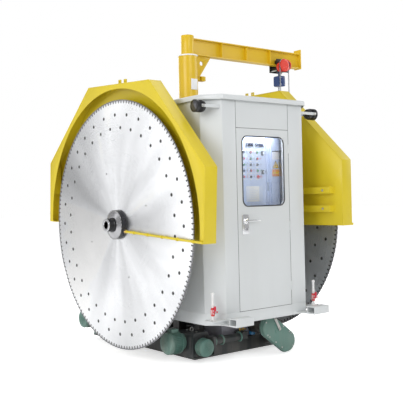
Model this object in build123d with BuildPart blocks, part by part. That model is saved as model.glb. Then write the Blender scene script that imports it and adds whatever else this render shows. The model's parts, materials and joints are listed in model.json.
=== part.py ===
"""Double-blade quarry stone saw: a cabin on a rail trolley with two large lifting blades and a jib crane.

Frame: +X along the blade spindle to the right-hand blade, +Y along the rails away from the cabin door,
+Z up. The origin is on the rail plane, midway between the four wheels. Millimetres.
"""

import math
import os

from build123d import *

# ---- Overall sizes --------------------------------------------------------------------------------
blade_radius = 1500
blade_gap_to_rail = 100  # under the raised blade
cabin_half_x = 790
cabin_half_y = 1400

# ---- Fits and gaps ------------------------------------------------------------------------------
running_clearance = 0.05
seat_clearance = 0.5
panel_gap = 2

# ---- Blade guards -------------------------------------------------------------------------------
guard_plate = 8
guard_inner_x = cabin_half_x + 210
guard_depth = 160
guard_outer_x = guard_inner_x + guard_depth
guard_half_width = blade_radius + 200
guard_top_half_width = 0.396 * guard_half_width
guard_skirt = 77  # below the spindle
guard_shoulder = 0.425 * guard_half_width  # above the spindle
guard_crown = blade_radius + 187  # above the spindle
guard_mouth_radius = blade_radius + 130
guard_floor_reach = blade_radius + 60  # where the bottom ledge begins, from the middle
left_guard_pitch = 3.5
right_guard_pitch = 0.0
rail_tube = 80
rail_tube_heights = (130, 355)  # middles above the spindle
rail_tube_half_length = guard_half_width - 140
rail_tube_wall = 6
lug_height = 60
lug_gap = 60
water_pipe_radius = 14

# ---- Blades, spindle and clamping -------------------------------------------------------------
blade_thickness = 10
blade_plane = guard_inner_x + 130  # from the middle of the machine to the middle of a blade
segment_count = 160
segment_height = 26
segment_gap = 14
silencer_hole_radius = 18
silencer_hole_count = 32
outer_hole_ring = blade_radius - 175
inner_hole_ring = blade_radius - 333
pin_hole_radius = 10
pin_hole_count = 4
pin_hole_ring = 660
shaft_radius = 50
flange_radius = 177.5
flange_thickness = 50
cone_base_radius = 165
cone_tip_radius = 100
cone_length = 25
nose_radius = 75
nose_length = 85
nose_bore_radius = 40
spindle_z = blade_radius + blade_gap_to_rail
housing_radius = 120
housing_end = guard_inner_x + 60
housing_gap = 10
guard_hub_hole = housing_radius + 60

# ---- Cabin --------------------------------------------------------------------------------------
corner_x = 160
corner_y = 190
floor_bottom = 480
floor_height = 130
floor_top = floor_bottom + floor_height
wall_thickness = 5
floor_skin = 10
floor_beam_width = 90
roof_edge_z = 2980
roof_height = 60
roof_overhang = 40
roof_plate = 6
roof_round = 25
roof_top = roof_edge_z + roof_height
slot_half_width = 300
slot_bottom = spindle_z - 950
slot_top = spindle_z + 520

door_left = -430
door_right = 390
door_top = 2675
door_thickness = 36
door_skin = 3
door_rib = 30
window_left = -345
window_right = 310
window_bottom = 1790
window_top = 2585
window_radius = 75
glass_thickness = 6
glass_setback = 10
handle_x = -320
handle_width = 100
handle_bottom = 1472
handle_top = 1697
handle_thickness = 12
lever_z = 1625
lever_neck_radius = 10
lever_length = 195
lever_standoff = 30
lever_bar = 18

# ---- Electrical cabinet behind the door ---------------------------------------------------------
cabinet_left = -400
cabinet_right = 385
cabinet_front = 150 - cabin_half_y
cabinet_depth = 250
cabinet_bottom = 700
cabinet_top = door_top - 25
cabinet_skin = 4
panel_thickness = 6
panel_right = 155
panel_bottom = 1700
side_door_left = 245
button_radius = 14
button_height = 15
button_travel = 6
button_columns = (-199, -90, 14)
button_rows = (2414, 2340, 2270, 2200, 2129)

# ---- Lifting carriage inside the cabin ------------------------------------------------------------
column_x = 450
column_y = 350
column_radius = 50
bush_radius = column_radius + 30
carriage_half_height = 200
carriage_web = 20
arm_size = 80
arm_gap_to_bush = 10
arm_y = column_y - bush_radius - arm_gap_to_bush - arm_size / 2
platform_thickness = 30
cylinder_y = 450
cylinder_bottom = spindle_z + 350
cylinder_radius = 70
piston_radius = 60
lift_rod_radius = 40
piston_height = 60
piston_end_gap = 10
gland_height = 40
lift_up = 80
lift_down = 740
main_motor_radius = 200
main_motor_rise = 450  # above the spindle
main_motor_left = -350
main_motor_right = 250
main_motor_skin_gap = 5
main_motor_foot_inset = 80
terminal_inset = 200
terminal_half_width = 90
terminal_rise = 60  # above the motor's body
motor_shaft_pocket = 100
pulley_left = 290
pulley_width = 90
spindle_pulley_radius = 160
motor_pulley_radius = 110
motor_shaft_radius = 30
belt_thickness = 12
belt_gap = 0.3
belt_edge = 5  # from the pulley's face to the belt
pulley_hub = 10
top_frame_bottom = roof_edge_z - 80
top_frame_height = 78

# ---- Trolley --------------------------------------------------------------------------------------
plate_bottom = 40
plate_thickness = 20
beam_top = 200
trolley_half_x = 720
trolley_half_y = 920
outer_beam_width = 80
inner_beam_left = 330
inner_beam_width = 100
wheel_y = 450
wheel_left = 515
wheel_flange_radius = 125
wheel_flange_width = 18
wheel_tread_radius = 110
wheel_width = 90
axle_radius = 30
axle_half_length = 630
bearing_left = 440
bearing_width = 60
leg_x = 380
legs = ((600, 80), (200, 120))
rear_deck_right = -400
rear_deck_end = 1350
rear_deck_beam = 80

# ---- Drives under the cabin -----------------------------------------------------------------------
gearbox_left, gearbox_right = -720, -490
gearbox_front, gearbox_back = -900, -(wheel_y + wheel_flange_radius + 15)
gearbox_top = 340
gearbox_round = 40
motor_neck_share = 0.8  # of a motor's radius
rapid_y, rapid_z = -690, 225
rapid_radius, rapid_length, rapid_neck = 120, 230, 60
feed_x, feed_z = -620, 180
feed_radius, feed_length, feed_neck = 95, 140, 40
tube_y, tube_z, tube_radius = -970, 232, 45
tube_left, tube_right = -480, -60
tube_socket, tube_socket_half = 40, 60
manifold_width, manifold_rise, manifold_gap = 80, 58, 10
case_front, case_back = -1280, -1200
case_radius = 130
case_upper = (165, 349)
case_lower = (426, 152)
case_motor_radius = 95
case_motor_back = -960
hanger_half_width = 40
hanger_span = (80, 200)  # behind the case
bevel_radius = 70
clutch_place = (330, 300)
clutch_radius = 120
clutch_gap, clutch_width = 10, 130
tank_left, tank_right = -250, 300
tank_front, tank_back = -860, -300
tank_bottom, tank_top = beam_top, 440
tank_skin = 5
filter_x, filter_y, filter_radius = 198, -902, 38
filter_levels = (15, 110, 140)  # bottom, shoulder and top above the beams
filter_head_share = 0.8
filter_union = 20
filter_union_lift = 5
rear_gear_y, rear_gear_z = 1220, 300
rear_gear_radius, rear_gear_length, rear_gear_neck = 110, 240, 50
rear_box_half, rear_box_rise = 120, 100

# ---- Corner fittings ----------------------------------------------------------------------------
standpipe_x, standpipe_y = cabin_half_x + 10, 30 - cabin_half_y
standpipe_radius, standpipe_bore = 14, 10
standpipe_top = 860
corner_plate_z, corner_plate_thickness = 544, 12
corner_plate_side = 60  # beyond the standpipe
corner_plate_front, corner_plate_back = 70, 80
valve_z = 650
valve_radius = 24
valve_lever_length, valve_lever_foot = 60, 12
valve_lever_half, valve_lever_thickness = 10, 10
valve_stem = 20
socket_left, socket_width = 480, 250
socket_front, socket_depth = -(cabin_half_y + 280), 120
socket_bottom, socket_height = 510, 80
socket_wall = 8
lamp_x, lamp_y, lamp_z = cabin_half_x + 90, 90 - cabin_half_y, roof_edge_z - 80
lamp_radius, lamp_length = 65, 125
lamp_arm, lamp_arm_gap, lamp_arm_half = 6, 5, 15
lamp_pin_radius = 6

# ---- Jib and hoist ----------------------------------------------------------------------------------
mast_radius = 125
mast_wall = 12
jib_headroom = 473  # from the guards' crown to the top of the mast
mast_top = spindle_z + guard_crown + jib_headroom
pivot_radius = 60
sleeve_radius = 85
sleeve_gap = 5
sleeve_height = 245
beam_bottom, beam_height, beam_width = mast_top + 10, 215, 110
beam_flange, beam_web = 12, 8
end_plate = 15
end_plate_half, end_plate_rise, end_plate_drop = 66, 60, 10
gusset_thickness = 16
gusset_reach = 370
gusset_foot = beam_bottom - 270
gusset_tip, gusset_shank = 20, 60
gusset_hole_radius, gusset_hole_in, gusset_hole_down = 28, 90, 95
roller_radius = 30
roller_bracket_reach, roller_bracket_half, roller_plate, roller_gap = 130, 40, 8, 5
roller_height = 60
trolley_x = guard_outer_x + 505
beam_end = trolley_x + 380
trolley_half_length = 120
trolley_wheel_radius = 38
trolley_cheek = 10
trolley_cheek_gap = 12
cheek_drop, cheek_rise = 90, 40
tie_drop, tie_radius = 60, 18
trolley_gears = ((-65, -20, 62), (60, 20, 72))  # along the beam, above the chain wheel, radius
gear_width = 40
chain_wheel_x, chain_wheel_y, chain_wheel_z = trolley_x - 45, -150, beam_bottom - 9
chain_wheel_radius, chain_wheel_half, chain_wheel_shaft = 85, 9, 14
hand_chain_bottom = chain_wheel_z - 701
chain_radius = 5
hoist_top = beam_bottom - 140
hoist_bottom = hoist_top - 150
hoist_half_x, hoist_half_y, hoist_round = 62, 55, 25
shackle_half_x, shackle_half_y = 12, 8
strand_left = 14  # of the trolley's middle
hook_top = hoist_bottom - 270
hook_bottom = hook_top - 200
hook_wire = 14
hook_ring = 45
hook_swivel_radius, hook_swivel_height = 24, 60
hook_sweep = 250  # degrees


def block(x, y, z, mode=Mode.ADD):
    """A box between three pairs of limits."""
    with Locations(((x[0] + x[1]) / 2, (y[0] + y[1]) / 2, (z[0] + z[1]) / 2)):
        Box(x[1] - x[0], y[1] - y[0], z[1] - z[0], mode=mode)


def drum_x(y, z, radius, span, mode=Mode.ADD):
    """A cylinder along X."""
    with Locations(((span[0] + span[1]) / 2, y, z)):
        Cylinder(radius, abs(span[1] - span[0]), rotation=(0, 90, 0), mode=mode)


def drum_y(x, z, radius, span, mode=Mode.ADD):
    """A cylinder along Y."""
    with Locations((x, (span[0] + span[1]) / 2, z)):
        Cylinder(radius, abs(span[1] - span[0]), rotation=(90, 0, 0), mode=mode)


def drum_z(x, y, radius, span, mode=Mode.ADD):
    """A cylinder along Z."""
    with Locations((x, y, (span[0] + span[1]) / 2)):
        Cylinder(radius, abs(span[1] - span[0]), mode=mode)


def sided(side, low, high):
    """Limits mirrored to the left for side -1."""
    return (low, high) if side > 0 else (-high, -low)


def cabin_outline(grow=0.0):
    """The cabin's eight-sided plan, drawn in the open sketch, grown outwards by an offset."""
    x, y = cabin_half_x, cabin_half_y
    corners = [(x, corner_y - y), (x, y - corner_y), (x - corner_x, y), (corner_x - x, y),
               (-x, y - corner_y), (-x, corner_y - y), (corner_x - x, -y), (x - corner_x, -y)]
    face = Polygon(*corners, align=None, mode=Mode.PRIVATE)
    return offset(face, amount=grow, kind=Kind.INTERSECTION, mode=Mode.PRIVATE) if grow else face


pieces = {}

# ================================ Trolley ==========================================================
plate_top = plate_bottom + plate_thickness
axle_z = wheel_flange_radius
wheel_room = 20

with BuildPart() as trolley_frame:
    block((-trolley_half_x, trolley_half_x), (-trolley_half_y, trolley_half_y), (plate_bottom, plate_top))
    block((-trolley_half_x, rear_deck_right), (trolley_half_y, rear_deck_end), (plate_bottom, plate_top))
    block((-trolley_half_x, rear_deck_right), (trolley_half_y, trolley_half_y + rear_deck_beam),
          (plate_top, beam_top))
    for side in (-1, 1):
        inner = sided(side, inner_beam_left, inner_beam_left + inner_beam_width)
        outer = sided(side, trolley_half_x - outer_beam_width, trolley_half_x)
        outer_start = gearbox_back + wheel_room / 2 if side < 0 else -trolley_half_y
        block(inner, (-trolley_half_y, trolley_half_y), (plate_top, beam_top))
        block(outer, (outer_start, trolley_half_y), (plate_top, beam_top))
        for end in (-1, 1):
            cross = sided(end, trolley_half_y - outer_beam_width, trolley_half_y)
            block((-inner_beam_left, inner_beam_left), cross, (plate_top, beam_top))
            mid = sided(end, legs[1][0] - legs[1][1] / 2, legs[1][0] + legs[1][1] / 2)
            block((-inner_beam_left, inner_beam_left), mid, (plate_top, beam_top))
            block(sided(side, bearing_left, bearing_left + bearing_width),
                  (end * wheel_y - 2 * axle_radius, end * wheel_y + 2 * axle_radius),
                  (plate_top, axle_z + 2 * axle_radius))
            block(sided(side, wheel_left - wheel_room / 2, wheel_left + wheel_width + wheel_room / 2),
                  (end * wheel_y - wheel_flange_radius - wheel_room / 2,
                   end * wheel_y + wheel_flange_radius + wheel_room / 2),
                  (plate_bottom, plate_top), mode=Mode.SUBTRACT)
    for end in (-1, 1):
        drum_x(end * wheel_y, axle_z, axle_radius + running_clearance,
               (-axle_half_length, axle_half_length), mode=Mode.SUBTRACT)
        for side in (-1, 1):
            drum_x(end * wheel_y, axle_z, axle_radius + wheel_room / 2,
                   sided(side, inner_beam_left, inner_beam_left + inner_beam_width), mode=Mode.SUBTRACT)
pieces["trolley_frame"] = trolley_frame

for name, end in (("front_wheelset", -1), ("rear_wheelset", 1)):
    with BuildPart() as wheelset:
        drum_x(end * wheel_y, axle_z, axle_radius, (-axle_half_length, axle_half_length))
        for side in (-1, 1):
            drum_x(end * wheel_y, axle_z, wheel_tread_radius, sided(side, wheel_left, wheel_left + wheel_width))
            drum_x(end * wheel_y, axle_z, wheel_flange_radius,
                   sided(side, wheel_left, wheel_left + wheel_flange_width))
    pieces[name] = wheelset

with BuildPart() as support_legs:
    for side in (-1, 1):
        for end in (-1, 1):
            for leg_y, leg_size in legs:
                block((side * leg_x - leg_size / 2, side * leg_x + leg_size / 2),
                      (end * leg_y - leg_size / 2, end * leg_y + leg_size / 2), (beam_top, floor_bottom))
pieces["support_legs"] = support_legs

# ================================ Cabin ============================================================
with BuildPart() as floor_frame:
    with BuildSketch(Plane.XY.offset(floor_bottom)):
        add(cabin_outline())
    extrude(amount=floor_height)
    with BuildSketch(Plane.XY.offset(floor_bottom)):
        add(cabin_outline(-floor_skin))
    extrude(amount=floor_height - floor_skin, mode=Mode.SUBTRACT)
    for end in (-1, 1):
        for leg_y, leg_size in legs:
            block((floor_skin - cabin_half_x, cabin_half_x - floor_skin),
                  (end * leg_y - floor_beam_width / 2, end * leg_y + floor_beam_width / 2),
                  (floor_bottom, floor_top - floor_skin))
pieces["floor_frame"] = floor_frame

roof_under = roof_top - roof_plate
split_y = cabin_half_y - corner_y


def wall_panel(x, y, z, slot=None):
    """The stretch of the cabin's folded wall inside three pairs of limits, with a slot if one is given."""
    with BuildPart() as panel:
        with BuildSketch(Plane.XY.offset(floor_top)):
            add(cabin_outline())
            add(cabin_outline(-wall_thickness), mode=Mode.SUBTRACT)
        extrude(amount=roof_under - floor_top)
        block(x, y, z, mode=Mode.INTERSECT)
        if slot:
            block(x, *slot, mode=Mode.SUBTRACT)
    return panel


wall_height = (floor_top, roof_under)
wall_slot = ((-slot_half_width, slot_half_width), (slot_bottom, slot_top))
side_span = (-split_y, split_y)
front_span = (-cabin_half_y, -split_y - panel_gap)
pieces["left_side_wall"] = wall_panel((-cabin_half_x, 0), side_span, wall_height, wall_slot)
pieces["right_side_wall"] = wall_panel((0, cabin_half_x), side_span, wall_height, wall_slot)
pieces["rear_wall"] = wall_panel((-cabin_half_x, cabin_half_x), (split_y + panel_gap, cabin_half_y), wall_height)
pieces["front_left_panel"] = wall_panel((-cabin_half_x, door_left - panel_gap), front_span, wall_height)
pieces["front_right_panel"] = wall_panel((door_right + panel_gap, cabin_half_x), front_span, wall_height)
pieces["front_header"] = wall_panel((door_left, door_right), front_span, (door_top + panel_gap, roof_under))

with BuildPart() as roof_cap:
    with BuildSketch(Plane.XY.offset(roof_edge_z)):
        add(cabin_outline(roof_overhang))
    extrude(amount=roof_height)
    fillet(roof_cap.faces().sort_by(Axis.Z)[-1].edges(), radius=roof_round)
    with BuildSketch(Plane.XY.offset(roof_edge_z)):
        add(cabin_outline(roof_overhang - roof_plate))
    extrude(amount=roof_height - roof_round, mode=Mode.SUBTRACT)
    with BuildSketch(Plane.XY.offset(roof_edge_z)):
        add(cabin_outline())
    extrude(amount=roof_height - roof_plate, mode=Mode.SUBTRACT)
    drum_z(0, 0, mast_radius + seat_clearance, (roof_edge_z, roof_top), mode=Mode.SUBTRACT)
pieces["roof_cap"] = roof_cap

top_frame_top = top_frame_bottom + top_frame_height
with BuildPart() as top_frame:
    level = (top_frame_bottom, top_frame_top)
    reach = cabin_half_y - wall_thickness
    for side in (-1, 1):
        block(sided(side, column_x - column_radius, column_x + column_radius), (-reach, reach), level)
        block((-column_x, column_x), sided(side, column_y - column_radius, cylinder_y + cylinder_radius), level)
    block((-column_x, column_x), (-mast_radius, mast_radius), level)
    block((-mast_radius, mast_radius), (-column_y, column_y), level)
pieces["top_frame"] = top_frame

with BuildPart() as guide_columns:
    for side in (-1, 1):
        for end in (-1, 1):
            drum_z(side * column_x, end * column_y, column_radius, (floor_top, top_frame_bottom))
pieces["guide_columns"] = guide_columns

with BuildPart() as lift_barrels:
    for end in (-1, 1):
        drum_z(0, end * cylinder_y, cylinder_radius, (cylinder_bottom, top_frame_bottom))
        drum_z(0, end * cylinder_y, piston_radius + running_clearance,
               (cylinder_bottom + gland_height, top_frame_bottom - floor_skin), mode=Mode.SUBTRACT)
        drum_z(0, end * cylinder_y, lift_rod_radius + running_clearance,
               (cylinder_bottom, cylinder_bottom + gland_height), mode=Mode.SUBTRACT)
pieces["lift_barrels"] = lift_barrels

# ================================ Electrical cabinet ===============================================
stop_x, stop_z = button_columns[-1], button_rows[-1]
panel_front = cabinet_front - panel_thickness
with BuildPart() as control_cabinet:
    block((cabinet_left, cabinet_right), (cabinet_front, cabinet_front + cabinet_depth),
          (cabinet_bottom, cabinet_top))
    block((cabinet_left + cabinet_skin, cabinet_right - cabinet_skin),
          (cabinet_front + cabinet_skin, cabinet_front + cabinet_depth - cabinet_skin),
          (cabinet_bottom + cabinet_skin, cabinet_top - cabinet_skin), mode=Mode.SUBTRACT)
    block((cabinet_left, cabinet_right), (cabinet_front, cabinet_front + cabinet_depth),
          (floor_top, cabinet_bottom))
    drum_y(stop_x, stop_z, button_radius + 2 * seat_clearance,
           (cabinet_front, cabinet_front + cabinet_skin), mode=Mode.SUBTRACT)
pieces["control_cabinet"] = control_cabinet

with BuildPart() as instrument_panel:
    block((cabinet_left + cabinet_skin, panel_right), (panel_front, cabinet_front),
          (panel_bottom, cabinet_top - cabinet_skin))
    block((side_door_left, cabinet_right - cabinet_skin), (panel_front, cabinet_front),
          (cabinet_bottom + cabinet_skin, cabinet_top - cabinet_skin))
    drum_y(stop_x, stop_z, button_radius + seat_clearance, (panel_front, cabinet_front), mode=Mode.SUBTRACT)
pieces["instrument_panel"] = instrument_panel

with BuildPart() as push_buttons:
    for button_x in button_columns:
        for button_z in button_rows:
            if (button_x, button_z) != (stop_x, stop_z):
                drum_y(button_x, button_z, button_radius, (panel_front - button_height, panel_front))
pieces["push_buttons"] = push_buttons

with BuildPart() as stop_button:
    drum_y(stop_x, stop_z, button_radius, (panel_front - button_height, cabinet_front - seat_clearance))
pieces["stop_button"] = stop_button

# ================================ Door =============================================================
door_front = -cabin_half_y
window_middle = ((window_left + window_right) / 2, (window_bottom + window_top) / 2)
window_size = (window_right - window_left, window_top - window_bottom)
door_plane = Plane((0, door_front, 0), x_dir=(1, 0, 0), z_dir=(0, -1, 0))

with BuildPart() as door_panel:
    block((door_left, door_right), (door_front, door_front + door_thickness), (floor_top + panel_gap, door_top))
    block((door_left + door_rib, door_right - door_rib),
          (door_front + door_skin, door_front + door_thickness),
          (floor_top + panel_gap + door_rib, window_bottom - door_rib), mode=Mode.SUBTRACT)
    with BuildSketch(door_plane):
        with Locations(window_middle):
            RectangleRounded(*window_size, window_radius)
    extrude(amount=-door_thickness, mode=Mode.SUBTRACT)
    drum_y(handle_x, lever_z, lever_neck_radius + seat_clearance, (door_front, door_front + door_skin),
           mode=Mode.SUBTRACT)
pieces["door_panel"] = door_panel

with BuildPart() as door_glass:
    with BuildSketch(door_plane.offset(-glass_setback)):
        with Locations(window_middle):
            RectangleRounded(window_size[0] - seat_clearance, window_size[1] - seat_clearance, window_radius)
    extrude(amount=-glass_thickness)
pieces["door_glass"] = door_glass

with BuildPart() as handle_plate:
    block((handle_x - handle_width / 2, handle_x + handle_width / 2),
          (door_front - handle_thickness, door_front), (handle_bottom, handle_top))
    fillet(handle_plate.edges().filter_by(Axis.Y), radius=handle_width / 5)
    drum_y(handle_x, lever_z, lever_neck_radius + seat_clearance, (door_front - handle_thickness, door_front),
           mode=Mode.SUBTRACT)
pieces["handle_plate"] = handle_plate

lever_back = door_front - handle_thickness - lever_standoff
with BuildPart() as door_lever:
    drum_y(handle_x, lever_z, lever_neck_radius, (lever_back - lever_bar, door_front))
    block((handle_x, handle_x + lever_length), (lever_back - lever_bar, lever_back),
          (lever_z - lever_bar / 2, lever_z + lever_bar / 2))
    fillet(door_lever.edges().filter_by(Axis.Z).group_by(Axis.X)[-1], radius=lever_bar / 3)
pieces["door_lever"] = door_lever

# ================================ Lifting carriage =================================================
carriage_level = (spindle_z - carriage_half_height, spindle_z + carriage_half_height)
arm_z = spindle_z + rail_tube_heights[1]
motor_z = spindle_z + main_motor_rise
platform_top = motor_z - main_motor_radius
web_x = (column_x - carriage_web / 2, column_x + carriage_web / 2)
pulley_span = (pulley_left, pulley_left + pulley_width)
lug_top = carriage_level[1] - carriage_web

with BuildPart() as carriage_frame:
    for side in (-1, 1):
        web = sided(side, *web_x)
        block(web, (-column_y, column_y), (carriage_level[0] + carriage_web, carriage_level[1] - carriage_web))
        block(web, (-arm_y - arm_size / 2, arm_y + arm_size / 2),
              (carriage_level[1] - carriage_web, arm_z + arm_size / 2))
        for end in (-1, 1):
            cross = sided(end, column_y - carriage_web / 2, column_y + carriage_web / 2)
            block((-column_x, column_x), cross,
                  (carriage_level[0] + 2 * carriage_web, carriage_level[1] - carriage_web))
            block((-lift_rod_radius - carriage_web, lift_rod_radius + carriage_web),
                  sided(end, column_y, cylinder_y + cylinder_radius), (lug_top - 2 * carriage_web, lug_top))
            drum_z(side * column_x, end * column_y, bush_radius, carriage_level)
            block(sided(side, web_x[0], guard_inner_x - rail_tube),
                  (end * arm_y - arm_size / 2, end * arm_y + arm_size / 2),
                  (arm_z - arm_size / 2, arm_z + arm_size / 2))
    block((-column_x, column_x), (-main_motor_radius, main_motor_radius),
          (platform_top - platform_thickness, platform_top))
    belt_room = spindle_pulley_radius + 2 * belt_thickness
    block((pulley_span[0] - carriage_web, pulley_span[1] + carriage_web), (-belt_room, belt_room),
          (platform_top - platform_thickness, platform_top), mode=Mode.SUBTRACT)
    drum_x(0, spindle_z, housing_radius, (-housing_end, housing_end), mode=Mode.SUBTRACT)
    for side in (-1, 1):
        for end in (-1, 1):
            drum_z(side * column_x, end * column_y, column_radius + running_clearance, carriage_level,
                   mode=Mode.SUBTRACT)
pieces["carriage_frame"] = carriage_frame

piston_top = top_frame_bottom - floor_skin - lift_up - piston_end_gap
with BuildPart() as lift_rods:
    for end in (-1, 1):
        drum_z(0, end * cylinder_y, lift_rod_radius, (lug_top, piston_top))
        drum_z(0, end * cylinder_y, piston_radius, (piston_top - piston_height, piston_top))
pieces["lift_rods"] = lift_rods

with BuildPart() as spindle_housing:
    drum_x(0, spindle_z, housing_radius, (-housing_end, pulley_span[0] - carriage_web))
    drum_x(0, spindle_z, housing_radius, (pulley_span[1] + carriage_web, housing_end))
    drum_x(0, spindle_z, shaft_radius + running_clearance, (-housing_end, housing_end), mode=Mode.SUBTRACT)
pieces["spindle_housing"] = spindle_housing

with BuildPart() as main_motor:
    drum_x(0, motor_z, main_motor_radius - main_motor_skin_gap, (main_motor_left, main_motor_right))
    block((main_motor_left + main_motor_foot_inset, main_motor_right - main_motor_foot_inset),
          (carriage_web - main_motor_radius, main_motor_radius - carriage_web), (platform_top, motor_z))
    block((main_motor_left + terminal_inset, main_motor_right - terminal_inset),
          (-terminal_half_width, terminal_half_width), (motor_z, motor_z + main_motor_radius + terminal_rise))
    drum_x(0, motor_z, motor_shaft_radius + running_clearance, (main_motor_right - motor_shaft_pocket, main_motor_right),
           mode=Mode.SUBTRACT)
pieces["main_motor"] = main_motor

with BuildPart() as drive_belt:
    for part_mode, grow in ((Mode.ADD, belt_thickness), (Mode.SUBTRACT, 0)):
        low = spindle_pulley_radius + belt_gap + grow
        high = motor_pulley_radius + belt_gap + grow
        lean = math.acos((low - high) / main_motor_rise)
        with BuildSketch(Plane((pulley_span[0] + belt_edge, 0, spindle_z), x_dir=(0, 1, 0), z_dir=(1, 0, 0))):
            Circle(low)
            with Locations((0, main_motor_rise)):
                Circle(high)
            up = math.cos(lean)
            out = math.sin(lean)
            Polygon((-low * out, low * up), (low * out, low * up), (high * out, main_motor_rise + high * up),
                    (-high * out, main_motor_rise + high * up), align=None)
        extrude(amount=pulley_width - 2 * belt_edge, mode=part_mode)
pieces["drive_belt"] = drive_belt


def guard(side, pitch):
    """One blade guard: a deep half-octagon hood with a round mouth, rails behind and lugs on top."""
    outline = [(-guard_half_width, -guard_skirt), (-guard_half_width, guard_shoulder),
               (-guard_top_half_width, guard_crown), (guard_top_half_width, guard_crown),
               (guard_half_width, guard_shoulder), (guard_half_width, -guard_skirt)]
    base = Plane((0, 0, spindle_z), x_dir=(0, 1, 0), z_dir=(1, 0, 0))
    base = Plane(base.origin, x_dir=base.x_dir.rotate(Axis.X, pitch), z_dir=base.z_dir)
    inner, outer = guard_inner_x, guard_outer_x
    with BuildPart() as hood:
        with BuildSketch(base.offset(side * inner)):
            Polygon(*outline, align=None)
        extrude(amount=side * (outer - inner))
        with BuildSketch(base.offset(side * (inner + guard_plate))):
            Polygon(*outline, align=None)
            offset(amount=-guard_plate, kind=Kind.INTERSECTION, mode=Mode.REPLACE)
        extrude(amount=side * (outer - inner - 2 * guard_plate), mode=Mode.SUBTRACT)
        with BuildSketch(base.offset(side * (outer - guard_plate))):
            Circle(guard_mouth_radius)
        extrude(amount=side * guard_plate, mode=Mode.SUBTRACT)
        with BuildSketch(base.offset(side * (inner + guard_plate))):
            with Locations((0, -guard_skirt)):
                Rectangle(2 * guard_floor_reach, 3 * guard_plate)
        extrude(amount=side * (outer - inner - guard_plate), mode=Mode.SUBTRACT)
        with BuildSketch(base.offset(side * inner)):
            Circle(guard_hub_hole)
            with Locations((0, -guard_hub_hole)):
                Rectangle(2 * guard_hub_hole, 2 * guard_hub_hole)
        extrude(amount=side * guard_plate, mode=Mode.SUBTRACT)
        with BuildSketch(base.offset(side * (inner - rail_tube))):
            for height in rail_tube_heights:
                with Locations((0, height)):
                    Rectangle(2 * rail_tube_half_length, rail_tube)
        extrude(amount=side * rail_tube)
        with BuildSketch(base.offset(side * (inner - rail_tube + rail_tube_wall))):
            for height in rail_tube_heights:
                with Locations((0, height)):
                    Rectangle(2 * (rail_tube_half_length - rail_tube_wall), rail_tube - 2 * rail_tube_wall)
        extrude(amount=side * (rail_tube - 2 * rail_tube_wall), mode=Mode.SUBTRACT)
        with BuildSketch(base.offset(side * (inner - rail_tube))):
            Circle(housing_radius + housing_gap)
        extrude(amount=side * rail_tube, mode=Mode.SUBTRACT)
        with BuildSketch(base.offset(side * (inner + outer) / 2 - side * guard_plate)):
            for end in (-1, 1):
                with Locations((end * lug_gap, guard_crown + lug_height / 2)):
                    Rectangle(lug_height * 0.8, lug_height)
                with Locations((end * lug_gap, guard_crown + lug_height * 0.6)):
                    Circle(lug_height / 5, mode=Mode.SUBTRACT)
        extrude(amount=side * 2 * guard_plate)
    return hood


pieces["left_guard"] = guard(-1, left_guard_pitch)
pieces["right_guard"] = guard(1, right_guard_pitch)

with BuildPart() as water_feed_pipes:
    for side, pitch in ((-1, left_guard_pitch), (1, right_guard_pitch)):
        run = Vector(0, 1, 0).rotate(Axis.X, pitch)
        drop = Vector(0, 0, -guard_skirt + water_pipe_radius).rotate(Axis.X, pitch)
        start = Vector(side * (guard_outer_x + water_pipe_radius + seat_clearance), 0, spindle_z) + drop
        near = start - run * (flange_radius + lug_gap)
        with BuildSketch(Plane(near, z_dir=-run)):
            Circle(water_pipe_radius)
        extrude(amount=guard_half_width - flange_radius - lug_gap)
pieces["water_feed_pipes"] = water_feed_pipes

# ================================ Spindle ==========================================================
blade_faces = (blade_plane - blade_thickness / 2, blade_plane + blade_thickness / 2)
inner_flange = (blade_faces[0] - flange_thickness, blade_faces[0])
outer_flange = (blade_faces[1], blade_faces[1] + flange_thickness)
cone_end = outer_flange[1] + cone_length

with BuildPart() as spindle_shaft:
    drum_x(0, spindle_z, shaft_radius, (-cone_end, cone_end))
pieces["spindle_shaft"] = spindle_shaft


def blade(side):
    """A toothed steel disc with two staggered rings of holes."""
    pitch = 2 * math.pi / segment_count
    half_tip = pitch / 2 - segment_gap / 2 / blade_radius
    root_radius = blade_radius - segment_height
    rim = []
    for index in range(segment_count):
        middle = index * pitch
        for radius, turn in ((root_radius, -half_tip), (blade_radius, -half_tip),
                             (blade_radius, half_tip), (root_radius, half_tip)):
            rim.append((radius * math.cos(middle + turn), radius * math.sin(middle + turn)))
    with BuildPart() as disc:
        with BuildSketch(Plane((side * blade_plane - blade_thickness / 2, 0, spindle_z),
                               x_dir=(0, 1, 0), z_dir=(1, 0, 0))):
            with BuildLine():
                Polyline(*rim, close=True)
            make_face()
            half_step = 180 / silencer_hole_count
            with PolarLocations(outer_hole_ring, silencer_hole_count):
                Circle(silencer_hole_radius, mode=Mode.SUBTRACT)
            with PolarLocations(inner_hole_ring, silencer_hole_count, start_angle=half_step):
                Circle(silencer_hole_radius, mode=Mode.SUBTRACT)
            with PolarLocations(pin_hole_ring, pin_hole_count, start_angle=70):
                Circle(pin_hole_radius, mode=Mode.SUBTRACT)
            Circle(shaft_radius + running_clearance, mode=Mode.SUBTRACT)
        extrude(amount=blade_thickness)
    return disc


pieces["left_blade"] = blade(-1)
pieces["right_blade"] = blade(1)

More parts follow.
